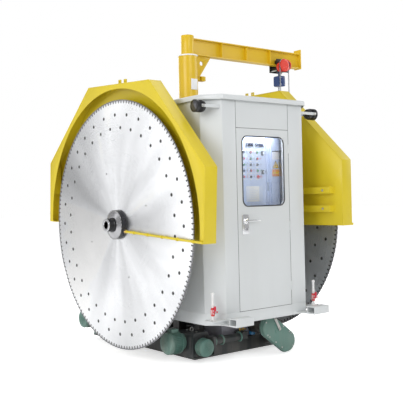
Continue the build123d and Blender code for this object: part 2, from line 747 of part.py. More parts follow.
with BuildPart() as blade_flanges:
    for side in (-1, 1):
        drum_x(0, spindle_z, flange_radius, sided(side, *inner_flange))
        drum_x(0, spindle_z, flange_radius, sided(side, *outer_flange))
        with BuildSketch(Plane.XZ.offset(0)):
            with Locations((0, spindle_z)):
                Polygon((side * outer_flange[1], 0), (side * outer_flange[1], cone_base_radius),
                        (side * cone_end, cone_tip_radius), (side * cone_end, 0), align=None)
        revolve(axis=Axis((0, 0, spindle_z), (1, 0, 0)))
    drum_x(0, spindle_z, shaft_radius + running_clearance, (-cone_end, cone_end), mode=Mode.SUBTRACT)
pieces["blade_flanges"] = blade_flanges

with BuildPart() as spindle_nuts:
    for side in (-1, 1):
        span = sided(side, cone_end, cone_end + nose_length)
        drum_x(0, spindle_z, nose_radius, span)
        drum_x(0, spindle_z, nose_bore_radius, span, mode=Mode.SUBTRACT)
pieces["spindle_nuts"] = spindle_nuts

with BuildPart() as spindle_pulley:
    drum_x(0, spindle_z, spindle_pulley_radius, pulley_span)
    drum_x(0, spindle_z, shaft_radius + running_clearance, pulley_span, mode=Mode.SUBTRACT)
pieces["spindle_pulley"] = spindle_pulley

with BuildPart() as motor_pulley:
    drum_x(0, motor_z, motor_pulley_radius, pulley_span)
    drum_x(0, motor_z, motor_shaft_radius, 
           (main_motor_right - motor_shaft_pocket + main_motor_skin_gap, pulley_span[1] + pulley_hub))
pieces["motor_pulley"] = motor_pulley

# ================================ Drives and hydraulics under the cabin ============================
with BuildPart() as travel_gearbox:
    block((gearbox_left, gearbox_right), (gearbox_front, gearbox_back), (plate_top, gearbox_top))
    fillet(travel_gearbox.edges().filter_by(Axis.Y).group_by(Axis.Z)[-1], radius=gearbox_round)
    block((tube_left - tube_socket, tube_left), (tube_y - tube_socket_half, gearbox_front),
          (tube_z - tube_socket_half, tube_z + tube_socket_half))
pieces["travel_gearbox"] = travel_gearbox

with BuildPart() as rapid_travel_motor:
    drum_x(rapid_y, rapid_z, rapid_radius * motor_neck_share, (gearbox_left - rapid_neck, gearbox_left))
    drum_x(rapid_y, rapid_z, rapid_radius, (gearbox_left - rapid_length, gearbox_left - rapid_neck))
pieces["rapid_travel_motor"] = rapid_travel_motor

with BuildPart() as feed_motor:
    drum_y(feed_x, feed_z, feed_radius * motor_neck_share, (gearbox_front - feed_neck, gearbox_front))
    drum_y(feed_x, feed_z, feed_radius, (gearbox_front - feed_length, gearbox_front - feed_neck))
pieces["feed_motor"] = feed_motor

with BuildPart() as cross_tube:
    drum_x(tube_y, tube_z, tube_radius, (tube_left, tube_right))
    block((tube_right, tube_right + manifold_width), (tube_y - tube_radius, tank_front - manifold_gap),
          (beam_top, tube_z + manifold_rise))
pieces["cross_tube"] = cross_tube

case_run = Vector(case_lower[0] - case_upper[0], 0, case_lower[1] - case_upper[1])
with BuildPart() as chain_case:
    with BuildSketch(Plane.XZ.offset(-case_back)):
        with Locations(((case_upper[0] + case_lower[0]) / 2, (case_upper[1] + case_lower[1]) / 2)):
            tilt = math.degrees(math.atan2(case_run.Z, case_run.X))
            SlotCenterToCenter(case_run.length, 2 * case_radius, rotation=tilt)
    extrude(amount=case_back - case_front)
pieces["chain_case"] = chain_case

with BuildPart() as chain_case_motor:
    drum_y(*case_upper, case_motor_radius, (case_back, case_motor_back))
    block((case_upper[0] - hanger_half_width, case_upper[0] + hanger_half_width),
          (case_back + hanger_span[0], case_back + hanger_span[1]), (case_upper[1], floor_bottom))
    drum_y(*case_lower, bevel_radius, (case_back, -trolley_half_y))
    drum_y(*clutch_place, clutch_radius, (case_back + clutch_gap, case_back + clutch_gap + clutch_width))
pieces["chain_case_motor"] = chain_case_motor

with BuildPart() as hydraulic_tank:
    block((tank_left, tank_right), (tank_front, tank_back), (tank_bottom, tank_top))
    block((tank_left + tank_skin, tank_right - tank_skin), (tank_front + tank_skin, tank_back - tank_skin),
          (tank_bottom + tank_skin, tank_top - tank_skin), mode=Mode.SUBTRACT)
pieces["hydraulic_tank"] = hydraulic_tank

with BuildPart() as return_filter:
    low, shoulder, high = (beam_top + level for level in filter_levels)
    drum_z(filter_x, filter_y, filter_radius, (low, shoulder))
    drum_z(filter_x, filter_y, filter_radius * filter_head_share, (shoulder, high))
    block((filter_x - filter_union * 0.75, filter_x + filter_union * 0.75), (filter_y, tank_front),
          (shoulder + filter_union_lift, shoulder + filter_union_lift + filter_union))
pieces["return_filter"] = return_filter

with BuildPart() as rear_gearmotor:
    block((-trolley_half_x, gearbox_right), (rear_gear_y - rear_box_half, rear_gear_y + rear_box_half),
          (plate_top, rear_gear_z + rear_box_rise))
    fillet(rear_gearmotor.edges().filter_by(Axis.Y).group_by(Axis.Z)[-1], radius=gearbox_round)
    neck_end = -trolley_half_x - rear_gear_neck
    drum_x(rear_gear_y, rear_gear_z, rear_gear_radius * motor_neck_share, (neck_end, -trolley_half_x))
    drum_x(rear_gear_y, rear_gear_z, rear_gear_radius, (-trolley_half_x - rear_gear_length, neck_end))
pieces["rear_gearmotor"] = rear_gearmotor

# ================================ Corner fittings ==================================================
plate_level = (corner_plate_z, corner_plate_z + corner_plate_thickness)
lamp_gap = lamp_radius + lamp_arm_gap
socket_back = socket_front + socket_depth
with BuildPart() as corner_brackets:
    for side in (-1, 1):
        block(sided(side, cabin_half_x - corner_x, standpipe_x + corner_plate_side),
              (standpipe_y - corner_plate_front, standpipe_y + corner_plate_back), plate_level)
        for end in (-1, 1):
            block(sided(side, cabin_half_x - corner_x, lamp_x + lamp_pin_radius * 2),
                  (lamp_y + end * lamp_gap + min(end, 0) * lamp_arm, lamp_y + end * lamp_gap + max(end, 0) * lamp_arm),
                  (lamp_z - lamp_arm_half, lamp_z + lamp_arm_half))
        block(sided(side, socket_left, socket_left + socket_width), (socket_front, -cabin_half_y),
              (socket_bottom - socket_wall, socket_bottom))
        block(sided(side, socket_left, socket_left + socket_width), (socket_front, socket_back),
              (socket_bottom, socket_bottom + socket_height))
        block(sided(side, socket_left, socket_left + socket_width),
              (socket_front + socket_wall, socket_back - socket_wall),
              (socket_bottom + socket_wall, socket_bottom + socket_height - socket_wall), mode=Mode.SUBTRACT)
        drum_y(side * lamp_x, lamp_z, lamp_pin_radius + running_clearance,
               (lamp_y - 2 * lamp_radius, lamp_y + 2 * lamp_radius), mode=Mode.SUBTRACT)
    with BuildSketch(Plane.XY.offset(floor_bottom)):
        add(cabin_outline())
    extrude(amount=roof_top - floor_bottom, mode=Mode.SUBTRACT)
pieces["corner_brackets"] = corner_brackets

for name, side in (("left_lamp", -1), ("right_lamp", 1)):
    with BuildPart() as lamp:
        drum_x(lamp_y, lamp_z, lamp_radius, (side * lamp_x - lamp_length / 2, side * lamp_x + lamp_length / 2))
        fillet(lamp.edges().group_by(Axis.X)[0 if side > 0 else -1], radius=lamp_radius / 3)
        drum_y(side * lamp_x, lamp_z, lamp_pin_radius,
               (lamp_y - lamp_gap - lamp_arm, lamp_y + lamp_gap + lamp_arm))
    pieces[name] = lamp

valve_front = standpipe_y - valve_radius
with BuildPart() as water_standpipes:
    for side in (-1, 1):
        drum_z(side * standpipe_x, standpipe_y, standpipe_radius, (plate_level[1], standpipe_top))
        drum_z(side * standpipe_x, standpipe_y, valve_radius, (valve_z - valve_radius, valve_z + valve_radius))
        drum_z(side * standpipe_x, standpipe_y, standpipe_bore, (valve_z + valve_radius, standpipe_top),
               mode=Mode.SUBTRACT)
        drum_y(side * standpipe_x, valve_z, lamp_pin_radius + running_clearance,
               (valve_front, valve_front + valve_radius), mode=Mode.SUBTRACT)
pieces["water_standpipes"] = water_standpipes

for name, side in (("left_valve_lever", -1), ("right_valve_lever", 1)):
    with BuildPart() as valve_lever:
        drum_y(side * standpipe_x, valve_z, lamp_pin_radius, (valve_front - valve_stem, valve_front + valve_radius))
        block((side * standpipe_x - valve_lever_half, side * standpipe_x + valve_lever_half),
              (valve_front - valve_stem, valve_front - valve_stem + valve_lever_thickness),
              (valve_z - valve_lever_foot, valve_z + valve_lever_length))
    pieces[name] = valve_lever

# ================================ Jib crane ========================================================
with BuildPart() as jib_mast:
    drum_z(0, 0, mast_radius, (top_frame_top, mast_top))
    drum_z(0, 0, mast_radius - mast_wall, (top_frame_top, mast_top - mast_wall), mode=Mode.SUBTRACT)
    drum_z(0, 0, pivot_radius, (mast_top - mast_wall, mast_top + sleeve_gap + sleeve_height - mast_wall))
    drum_z(0, 0, sleeve_radius, (mast_top, mast_top + sleeve_gap - belt_gap))
pieces["jib_mast"] = jib_mast

beam_top_z = beam_bottom + beam_height
sleeve_span = (mast_top + sleeve_gap, mast_top + sleeve_gap + sleeve_height)
with BuildPart() as jib_arm:
    drum_z(0, 0, sleeve_radius, sleeve_span)
    block((0, beam_end), (-beam_width / 2, beam_width / 2), (beam_bottom, beam_bottom + beam_flange))
    block((0, beam_end), (-beam_width / 2, beam_width / 2), (beam_top_z - beam_flange, beam_top_z))
    block((0, beam_end), (-beam_web / 2, beam_web / 2), (beam_bottom, beam_top_z))
    block((beam_end, beam_end + end_plate), (-end_plate_half, end_plate_half),
          (beam_bottom - end_plate_drop, beam_top_z + end_plate_rise))
    drum_z(0, 0, pivot_radius + running_clearance, (beam_bottom - sleeve_gap, sleeve_span[1] - mast_wall),
           mode=Mode.SUBTRACT)
    gusset_root = mast_radius + sleeve_gap
    with BuildSketch(Plane.XZ.offset(-gusset_thickness / 2)):
        Polygon((gusset_root, beam_bottom), (gusset_reach, beam_bottom), (gusset_reach, beam_bottom - gusset_tip),
                (gusset_root + gusset_shank, gusset_foot), (gusset_root, gusset_foot), align=None)
        with Locations((gusset_root + gusset_hole_in, beam_bottom - gusset_hole_down)):
            Circle(gusset_hole_radius, mode=Mode.SUBTRACT)
    extrude(amount=gusset_thickness)
    bracket_end = gusset_root + roller_bracket_reach
    bracket_width = (-roller_bracket_half, roller_bracket_half)
    block((gusset_root + 2 * roller_radius + roller_gap, bracket_end), bracket_width,
          (gusset_foot - roller_height, gusset_foot))
    block((gusset_root + roller_gap, bracket_end), bracket_width, (gusset_foot - roller_plate, gusset_foot))
    drum_z(gusset_root + roller_radius, 0, roller_radius,
           (gusset_foot - roller_height + roller_plate, gusset_foot - roller_plate))
pieces["jib_arm"] = jib_arm

flange_top = beam_bottom + beam_flange
wheel_z = flange_top + trolley_wheel_radius + seat_clearance
cheek_y = beam_width / 2 + trolley_cheek_gap
with BuildPart() as hoist_trolley:
    for end in (-1, 1):
        cheek = sided(end, cheek_y, cheek_y + trolley_cheek)
        block((trolley_x - trolley_half_length, trolley_x + trolley_half_length), cheek,
              (beam_bottom - cheek_drop, wheel_z + cheek_rise))
        for run in (-1, 1):
            wheel_x = trolley_x + run * trolley_half_length * 0.6
            drum_y(wheel_x, wheel_z, trolley_wheel_radius, sided(end, beam_width * 0.2, beam_width / 2))
            drum_y(wheel_x, wheel_z, trolley_wheel_radius / 3, sided(end, beam_width / 2, cheek_y))
    drum_y(trolley_x, beam_bottom - tie_drop, tie_radius, (-cheek_y, cheek_y))
    gear_back = -cheek_y - trolley_cheek
    for along, above, gear_radius in trolley_gears:
        drum_y(trolley_x + along, chain_wheel_z + above, gear_radius, (gear_back - gear_width, gear_back))
    drum_y(chain_wheel_x, chain_wheel_z, chain_wheel_shaft, (chain_wheel_y, -cheek_y))
    drum_y(chain_wheel_x, chain_wheel_z, chain_wheel_radius - chain_radius - seat_clearance,
           (chain_wheel_y - chain_wheel_half, chain_wheel_y + chain_wheel_half))
pieces["hoist_trolley"] = hoist_trolley

with BuildPart() as hand_chain:
    for run in (-1, 1):
        drum_z(chain_wheel_x + run * chain_wheel_radius, chain_wheel_y, chain_radius,
               (hand_chain_bottom + chain_wheel_radius, chain_wheel_z))
    for height, low, high in ((chain_wheel_z, 0, 180), (hand_chain_bottom + chain_wheel_radius, 180, 360)):
        with BuildSketch(Plane((chain_wheel_x + chain_wheel_radius, chain_wheel_y, height), z_dir=(0, 0, 1))):
            Circle(chain_radius)
        revolve(axis=Axis((chain_wheel_x, chain_wheel_y, height), (0, 1, 0)), revolution_arc=180 if low else -180)
pieces["hand_chain"] = hand_chain

strand_x = trolley_x - strand_left
with BuildPart() as hoist_body:
    block((trolley_x - hoist_half_x, trolley_x + hoist_half_x), (-hoist_half_y, hoist_half_y),
          (hoist_bottom, hoist_top))
    fillet(hoist_body.edges().filter_by(Axis.Y), radius=hoist_round)
    block((trolley_x - shackle_half_x, trolley_x + shackle_half_x), (-shackle_half_y, shackle_half_y),
          (hoist_top, beam_bottom - tie_drop - tie_radius))
pieces["hoist_body"] = hoist_body

with BuildPart() as load_chain:
    drum_z(strand_x, 0, chain_radius, (hook_top, hoist_bottom))
pieces["load_chain"] = load_chain

hook_middle = hook_bottom + hook_ring + hook_wire
with BuildPart() as hook_block:
    drum_z(strand_x, 0, hook_swivel_radius, (hook_top - hook_swivel_height, hook_top))
    drum_z(strand_x, 0, hook_wire, (hook_middle + hook_ring, hook_top - hook_swivel_height))
    with BuildSketch(Plane((strand_x, 0, hook_middle + hook_ring), z_dir=(1, 0, 0))):
        Circle(hook_wire)
    revolve(axis=Axis((strand_x, 0, hook_middle), (0, 1, 0)), revolution_arc=hook_sweep)
pieces["hook_block"] = hook_block

os.makedirs("parts", exist_ok=True)
for name, piece in pieces.items():
    piece.part.label = name
    export_step(piece.part, f"parts/{name}.step")
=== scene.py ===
"""Looks for a double-blade quarry saw: paints, ground steel, fittings and parts round its fixed frame."""

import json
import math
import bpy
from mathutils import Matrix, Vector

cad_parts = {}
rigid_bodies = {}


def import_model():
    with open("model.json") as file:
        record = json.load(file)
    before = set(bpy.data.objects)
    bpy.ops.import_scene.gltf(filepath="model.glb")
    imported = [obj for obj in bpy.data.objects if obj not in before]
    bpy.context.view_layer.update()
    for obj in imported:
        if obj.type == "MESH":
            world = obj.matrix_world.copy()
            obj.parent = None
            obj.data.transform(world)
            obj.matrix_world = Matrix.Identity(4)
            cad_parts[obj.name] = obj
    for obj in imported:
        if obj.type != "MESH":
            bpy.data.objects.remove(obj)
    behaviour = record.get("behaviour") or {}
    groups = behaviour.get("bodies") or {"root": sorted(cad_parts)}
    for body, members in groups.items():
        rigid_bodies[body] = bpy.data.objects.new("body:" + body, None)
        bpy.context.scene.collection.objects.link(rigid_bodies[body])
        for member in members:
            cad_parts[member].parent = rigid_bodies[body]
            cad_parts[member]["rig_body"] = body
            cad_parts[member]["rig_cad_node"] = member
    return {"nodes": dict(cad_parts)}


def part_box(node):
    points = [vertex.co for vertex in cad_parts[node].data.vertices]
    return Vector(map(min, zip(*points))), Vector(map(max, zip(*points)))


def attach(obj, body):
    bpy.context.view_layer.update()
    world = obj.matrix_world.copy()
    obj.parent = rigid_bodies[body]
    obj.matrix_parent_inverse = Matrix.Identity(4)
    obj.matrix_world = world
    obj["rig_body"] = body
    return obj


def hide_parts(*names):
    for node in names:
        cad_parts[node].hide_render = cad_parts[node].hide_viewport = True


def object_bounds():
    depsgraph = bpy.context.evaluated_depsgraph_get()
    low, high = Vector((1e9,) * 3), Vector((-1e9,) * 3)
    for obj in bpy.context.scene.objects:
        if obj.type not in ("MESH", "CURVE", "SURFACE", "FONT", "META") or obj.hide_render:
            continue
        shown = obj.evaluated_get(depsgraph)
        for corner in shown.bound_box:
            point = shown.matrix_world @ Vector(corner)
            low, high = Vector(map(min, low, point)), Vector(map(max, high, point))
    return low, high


bl_info = {
    "name": "Quarry Saw Finisher",
    "version": (1, 0, 0),
    "blender": (4, 5, 0),
    "location": "3D View > Sidebar > Quarry Saw",
    "description": "Dresses a double-blade stone saw in paint, ground steel, chains, bolts and cabin parts",
    "category": "Add Mesh",
}

import bpy
from mathutils import Matrix, Vector

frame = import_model()
cad_low, cad_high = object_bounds()
NODES = frame["nodes"]
X, Y, Z = Vector((1, 0, 0)), Vector((0, 1, 0)), Vector((0, 0, 1))
SIDES = ((-1, "left"), (1, "right"))


# ---- What the frame says ------------------------------------------------------------------------
def middle_of(node):
    """The centre of a frame part's box."""
    low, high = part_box(node)
    return (low + high) / 2


SPINDLE = middle_of("spindle_shaft")
BLADE_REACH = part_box("left_blade")[1].z - SPINDLE.z


# ---- Sizes and colours a user may change --------------------------------------------------------
def length(name, description, default):
    """A length in metres."""
    return bpy.props.FloatProperty(name=name, description=description, default=default, min=0.0,
                                   unit="LENGTH")


def colour(name, description, default):
    """A paint colour."""
    return bpy.props.FloatVectorProperty(
        name=name, description=description, default=default, size=3, min=0.0, max=1.0, subtype="COLOR")


class SawSizes(bpy.types.PropertyGroup):
    """Sizes of the small parts"""

    edge_round: length("Edge Round", "Rounding on folded and welded plate edges", 0.004)
    bolt_head: length("Bolt Head", "Across the points of a common bolt head", 0.024)
    weld_bead: length("Weld Bead", "Half width of a weld bead", 0.005)
    gasket: length("Gasket", "Half width of the window's rubber strip", 0.007)
    link_wire: length("Chain Wire", "Half thickness of the load chain's wire", 0.0045)
    fin_depth: length("Fin Depth", "How far the cooling fins stand out of a motor", 0.012)


class SawColours(bpy.types.PropertyGroup):
    """Colours of the paints"""

    cabin: colour("Cabin", "Off-white cabin enamel", (0.64, 0.665, 0.675))
    guard: colour("Guard", "Golden yellow of the blade guards", (0.64, 0.50, 0.012))
    jib: colour("Jib", "Orange yellow of the crane", (0.72, 0.475, 0.008))
    green: colour("Motor Green", "Grey-green of motors and chain case", (0.105, 0.215, 0.18))
    trolley: colour("Trolley Red", "Red of the hoist trolley", (0.72, 0.045, 0.025))
    hoist: colour("Hoist Blue", "Blue of the hoist body", (0.03, 0.065, 0.21))
    chassis: colour("Chassis Grey", "Grey of the trolley frame", (0.030, 0.034, 0.035))
    panel: colour("Panel Blue", "Pale blue-grey of the electrical cabinet", (0.60, 0.70, 0.93))


# ---- Node groups --------------------------------------------------------------------------------
def new_group(name, inputs, outputs):
    """An empty shader node group with named sockets, and its input and output nodes."""
    group = bpy.data.node_groups.new(name, "ShaderNodeTree")
    kinds = {"f": "NodeSocketFloat", "c": "NodeSocketColor", "v": "NodeSocketVector"}
    for label, kind, value in inputs:
        socket = group.interface.new_socket(label, in_out="INPUT", socket_type=kinds[kind])
        if value is not None:
            socket.default_value = value
    for label, kind in outputs:
        group.interface.new_socket(label, in_out="OUTPUT", socket_type=kinds[kind])
    return group, group.nodes.new("NodeGroupInput"), group.nodes.new("NodeGroupOutput")


def add_node(tree, kind, links=None, **values):
    """A node with its settings, and its inputs linked or set by name or index."""
    node = tree.nodes.new(kind)
    for key, value in values.items():
        setattr(node, key, value)
    for key, value in (links or {}).items():
        if isinstance(value, bpy.types.NodeSocket):
            tree.links.new(value, node.inputs[key])
        else:
            node.inputs[key].default_value = value
    return node


def maths(tree, operation, first, second=0.0, clamp=False):
    """The output of one Math node."""
    return add_node(tree, "ShaderNodeMath", {0: first, 1: second}, operation=operation,
                    use_clamp=clamp).outputs[0]


def span(tree, value, low, high, to_low=0.0, to_high=1.0):
    """The output of one Map Range node, held inside its limits."""
    return add_node(tree, "ShaderNodeMapRange", {0: value, 1: low, 2: high, 3: to_low, 4: to_high}).outputs[0]


def mixed(tree, factor, first, second, blend="MIX"):
    """The output of one colour mix."""
    node = add_node(tree, "ShaderNodeMix", data_type="RGBA", blend_type=blend)
    for index, value in ((0, factor), (6, first), (7, second)):
        if isinstance(value, bpy.types.NodeSocket):
            tree.links.new(value, node.inputs[index])
        else:
            node.inputs[index].default_value = value
    return node.outputs[2]


def noise(tree, vector, scale, detail=3.0, rough=0.5):
    """The grey output of one noise texture."""
    return add_node(tree, "ShaderNodeTexNoise", {"Vector": vector, "Scale": scale, "Detail": detail,
                                                 "Roughness": rough}).outputs[0]


def enamel_group():
    """Sprayed enamel: faint tone drift, orange peel, dust low down, and rubbed flecks."""
    group, given, out = new_group(
        "Enamel Surface",
        [("Paint", "c", (1, 1, 1, 1)), ("Drift", "f", 0.05), ("Dust", "f", 0.2), ("Flecks", "f", 0.1),
         ("Gloss Roughness", "f", 0.35), ("Peel", "f", 0.3)],
        [("Colour", "c"), ("Roughness", "f"), ("Height", "f")])
    place = add_node(group, "ShaderNodeTexCoord").outputs["Object"]
    drift = span(group, noise(group, place, 1.3, 4.0), 0.3, 0.7, -1.0, 1.0)
    level = maths(group, "ADD", 1.0, maths(group, "MULTIPLY", drift, given.outputs["Drift"]))
    toned = mixed(group, 1.0, given.outputs["Paint"], add_node(
        group, "ShaderNodeCombineColor", {0: level, 1: level, 2: level}).outputs[0], "MULTIPLY")
    height = add_node(group, "ShaderNodeSeparateXYZ", {0: place}).outputs[2]
    low = span(group, height, 0.1, 1.6, 1.0, 0.0)
    streak = add_node(group, "ShaderNodeMapping", {"Vector": place, "Scale": (9.0, 9.0, 1.2)}).outputs[0]
    dirt = maths(group, "MULTIPLY", span(group, noise(group, streak, 1.0, 5.0), 0.42, 0.75), low)
    dirt = maths(group, "MULTIPLY", dirt, given.outputs["Dust"], True)
    dusty = mixed(group, dirt, toned, (0.27, 0.25, 0.22, 1))
    fleck = span(group, noise(group, place, 46.0, 6.0, 0.7), 0.70, 0.74)
    fleck = maths(group, "MULTIPLY", fleck, given.outputs["Flecks"], True)
    shown = mixed(group, fleck, dusty, (0.10, 0.09, 0.08, 1))
    rough = maths(group, "ADD", given.outputs["Gloss Roughness"], maths(group, "MULTIPLY", dirt, 0.4))
    rough = maths(group, "ADD", rough, span(group, noise(group, place, 7.0), 0.3, 0.7, -0.04, 0.04), True)
    peel = maths(group, "MULTIPLY", noise(group, place, 240.0, 2.0), given.outputs["Peel"])
    relief = maths(group, "SUBTRACT", peel, maths(group, "MULTIPLY", fleck, 0.5))
    for label, socket in (("Colour", shown), ("Roughness", rough), ("Height", relief)):
        group.links.new(socket, out.inputs[label])
    return group


def ground_steel_group():
    """Steel ground in fine rings about the spindle, with wiped stains, lighter sweeps of painted highlight
    and a band of painted shade at the rim.
    """
    group, given, out = new_group(
        "Ring Ground Steel",
        [("Steel", "c", (0.8, 0.8, 0.8, 1)), ("Centre Height", "f", 1.6), ("Sweep", "f", 0.2),
         ("Reach", "f", 1.5)],
        [("Colour", "c"), ("Roughness", "f"), ("Height", "f")])
    place = add_node(group, "ShaderNodeTexCoord").outputs["Object"]
    parts = add_node(group, "ShaderNodeSeparateXYZ", {0: place})
    across = parts.outputs[1]
    up = maths(group, "SUBTRACT", parts.outputs[2], given.outputs["Centre Height"])
    radius = maths(group, "SQRT", maths(group, "ADD", maths(group, "MULTIPLY", across, across),
                                        maths(group, "MULTIPLY", up, up)))
    angle = maths(group, "ARCTAN2", up, across)
    rings = add_node(group, "ShaderNodeCombineXYZ", {0: maths(group, "MULTIPLY", radius, 900.0),
                                                     1: maths(group, "MULTIPLY", angle, 3.0)}).outputs[0]
    grain = noise(group, rings, 1.0, 2.0)
    turn = add_node(group, "ShaderNodeCombineXYZ", {0: maths(group, "COSINE", angle),
                                                    1: maths(group, "SINE", angle),
                                                    2: maths(group, "MULTIPLY", radius, 0.25)}).outputs[0]
    # painted highlight: the steel is lighter and darker in sweeps by angle about the spindle, standing in for
    # the wedges of reflected light on ground steel
    painted_sweep = span(group, noise(group, turn, 1.6, 3.0), 0.35, 0.65, -1.0, 1.0)
    level = maths(group, "ADD", 1.0, maths(group, "MULTIPLY", painted_sweep, given.outputs["Sweep"]))
    level = maths(group, "ADD", level, span(group, grain, 0.3, 0.7, -0.03, 0.03))
    toned = mixed(group, 1.0, given.outputs["Steel"], add_node(
        group, "ShaderNodeCombineColor", {0: level, 1: level, 2: level}).outputs[0], "MULTIPLY")
    # painted shade: the steel turns dark grey towards the teeth, standing in for the shaded rim round the
    # blade
    rim = span(group, maths(group, "DIVIDE", radius, given.outputs["Reach"]), 0.975, 0.99)
    shown = mixed(group, maths(group, "MULTIPLY", rim, 0.55), toned, (0.34, 0.34, 0.36, 1))
    stain = span(group, noise(group, place, 2.4, 5.0), 0.45, 0.75)
    rough = maths(group, "ADD", maths(group, "MULTIPLY", stain, 0.08),
                  span(group, grain, 0.3, 0.7, 0.24, 0.32))
    for label, socket in (("Colour", shown), ("Roughness", rough), ("Height", grain)):
        group.links.new(socket, out.inputs[label])
    return group


def worked_metal_group():
    """Turned or cast metal: fine scratches and a darker oil film."""
    group, given, out = new_group(
        "Worked Metal",
        [("Metal", "c", (0.7, 0.7, 0.7, 1)), ("Grain Scale", "f", 60.0), ("Grain Roughness", "f", 0.35),
         ("Oil", "f", 0.3)],
        [("Colour", "c"), ("Roughness", "f"), ("Height", "f")])
    place = add_node(group, "ShaderNodeTexCoord").outputs["Object"]
    drawn = add_node(group, "ShaderNodeMapping", {"Vector": place, "Scale": (8.0, 1.0, 8.0)}).outputs[0]
    grain = noise(group, drawn, given.outputs["Grain Scale"], 4.0)
    film = maths(group, "MULTIPLY", span(group, noise(group, place, 6.0, 4.0), 0.45, 0.7),
                 given.outputs["Oil"])
    shown = mixed(group, film, given.outputs["Metal"], (0.09, 0.08, 0.07, 1))
    rough = maths(group, "ADD", given.outputs["Grain Roughness"], span(group, grain, 0.3, 0.7, -0.08, 0.08),
                  True)
    for label, socket in (("Colour", shown), ("Roughness", rough), ("Height", grain)):
        group.links.new(socket, out.inputs[label])
    return group


def fine_grain_group():
    """Moulded plastic and rubber: a fine pebbled skin with faint handling marks."""
    group, given, out = new_group(
        "Moulded Skin",
        [("Tint", "c", (0.1, 0.1, 0.1, 1)), ("Pebble Scale", "f", 300.0), ("Skin Roughness", "f", 0.45)],
        [("Colour", "c"), ("Roughness", "f"), ("Height", "f")])
    place = add_node(group, "ShaderNodeTexCoord").outputs["Object"]
    pebble = noise(group, place, given.outputs["Pebble Scale"], 2.0)
    marks = span(group, noise(group, place, 9.0, 5.0), 0.4, 0.7)
    shown = mixed(group, maths(group, "MULTIPLY", marks, 0.18), given.outputs["Tint"], (0.35, 0.34, 0.33, 1))
    rough = maths(group, "ADD", given.outputs["Skin Roughness"], maths(group, "MULTIPLY", marks, 0.12), True)
    for label, socket in (("Colour", shown), ("Roughness", rough), ("Height", pebble)):
        group.links.new(socket, out.inputs[label])
    return group


GROUPS = {}
MATERIALS = {}


def material(name, group, values, bump=0.1, bump_distance=0.0005, **shader):
    """A material whose colour, roughness and bump come from one of the node groups."""
    made = bpy.data.materials.new(name)
    made.use_nodes = True
    tree = made.node_tree
    bsdf = tree.nodes["Principled BSDF"]
    surface = add_node(tree, "ShaderNodeGroup", node_tree=GROUPS[group])
    for key, value in values.items():
        surface.inputs[key].default_value = value
    tree.links.new(surface.outputs["Colour"], bsdf.inputs["Base Color"])
    tree.links.new(surface.outputs["Roughness"], bsdf.inputs["Roughness"])
    relief = add_node(tree, "ShaderNodeBump", {"Height": surface.outputs["Height"], "Strength": bump,
                                               "Distance": bump_distance})
    tree.links.new(relief.outputs[0], bsdf.inputs["Normal"])
    for key, value in shader.items():
        bsdf.inputs[key.replace("_", " ")].default_value = value
    made.diffuse_color = bsdf.inputs["Base Color"].default_value
    MATERIALS[name] = made
    return made


def paint(name, tint, rough=0.32, drift=0.03, dust=0.12, flecks=0.03, peel=0.3):
    """A sprayed enamel in one colour, with its clear gloss."""
    return material(name, "enamel", {"Paint": (*tint, 1), "Drift": drift, "Dust": dust, "Flecks": flecks,
                                     "Gloss Roughness": rough, "Peel": peel},
                    bump=0.12, Coat_Weight=0.10, Coat_Roughness=0.15)


def metal(name, tint, rough=0.35, grain=60.0, oil=0.2):
    """A bare metal with drawn grain."""
    return material(name, "metal", {"Metal": (*tint, 1), "Grain Scale": grain, "Grain Roughness": rough,
                                    "Oil": oil}, bump=0.15, Metallic=1.0)


def moulded(name, tint, rough=0.45, pebble=300.0):
    """A moulded plastic or rubber."""
    return material(name, "moulded", {"Tint": (*tint, 1), "Pebble Scale": pebble, "Skin Roughness": rough},
                    bump=0.2)


def ringed(made):
    """Turns a ground steel's stretched highlights about the spindle."""
    tree = made.node_tree
    bsdf = tree.nodes["Principled BSDF"]
    bsdf.inputs["Anisotropic"].default_value = 0.85
    place = add_node(tree, "ShaderNodeTexCoord").outputs["Object"]
    arm = add_node(tree, "ShaderNodeVectorMath", {0: place, 1: tuple(SPINDLE)},
                   operation="SUBTRACT").outputs[0]
    around = add_node(tree, "ShaderNodeVectorMath", {0: arm, 1: tuple(X)},
                      operation="CROSS_PRODUCT").outputs[0]
    unit = add_node(tree, "ShaderNodeVectorMath", {0: around}, operation="NORMALIZE").outputs[0]
    tree.links.new(unit, bsdf.inputs["Tangent"])


# ---- Modelling helpers --------------------------------------------------------------------------
SMOOTH_ANGLE = 0.6


def select_only(*pieces):
    """Selects these pieces and nothing else, the first one active."""
    bpy.ops.object.select_all(action="DESELECT")
    for piece in pieces:
        piece.select_set(True)
    bpy.context.view_layer.objects.active = pieces[0]


def settle(piece):
    """Moves a piece's place into its mesh."""
    select_only(piece)
    bpy.ops.object.transform_apply(location=True, rotation=True, scale=True)
    return piece


def bevelled(piece, width, segments=2, angle=SMOOTH_ANGLE):
    """Rounds the sharp edges of a piece."""
    select_only(piece)
    rounding = piece.modifiers.new("Edges", "BEVEL")
    rounding.width = width
    rounding.segments = segments
    rounding.limit_method = "ANGLE"
    rounding.angle_limit = angle
    rounding.harden_normals = False
    bpy.ops.object.modifier_apply(modifier=rounding.name)
    bpy.ops.object.shade_smooth_by_angle(angle=SMOOTH_ANGLE)
    return piece


def slab(name, low, high, round_edge=0.002, segments=2):
    """A block between two corners with rounded edges."""
    low, high = Vector(low), Vector(high)
    bpy.ops.object.select_all(action="DESELECT")
    bpy.ops.mesh.primitive_cube_add(size=1.0, location=(low + high) / 2)
    piece = bpy.context.object
    piece.name = name
    piece.scale = high - low
    settle(piece)
    return bevelled(piece, round_edge, segments) if round_edge else piece


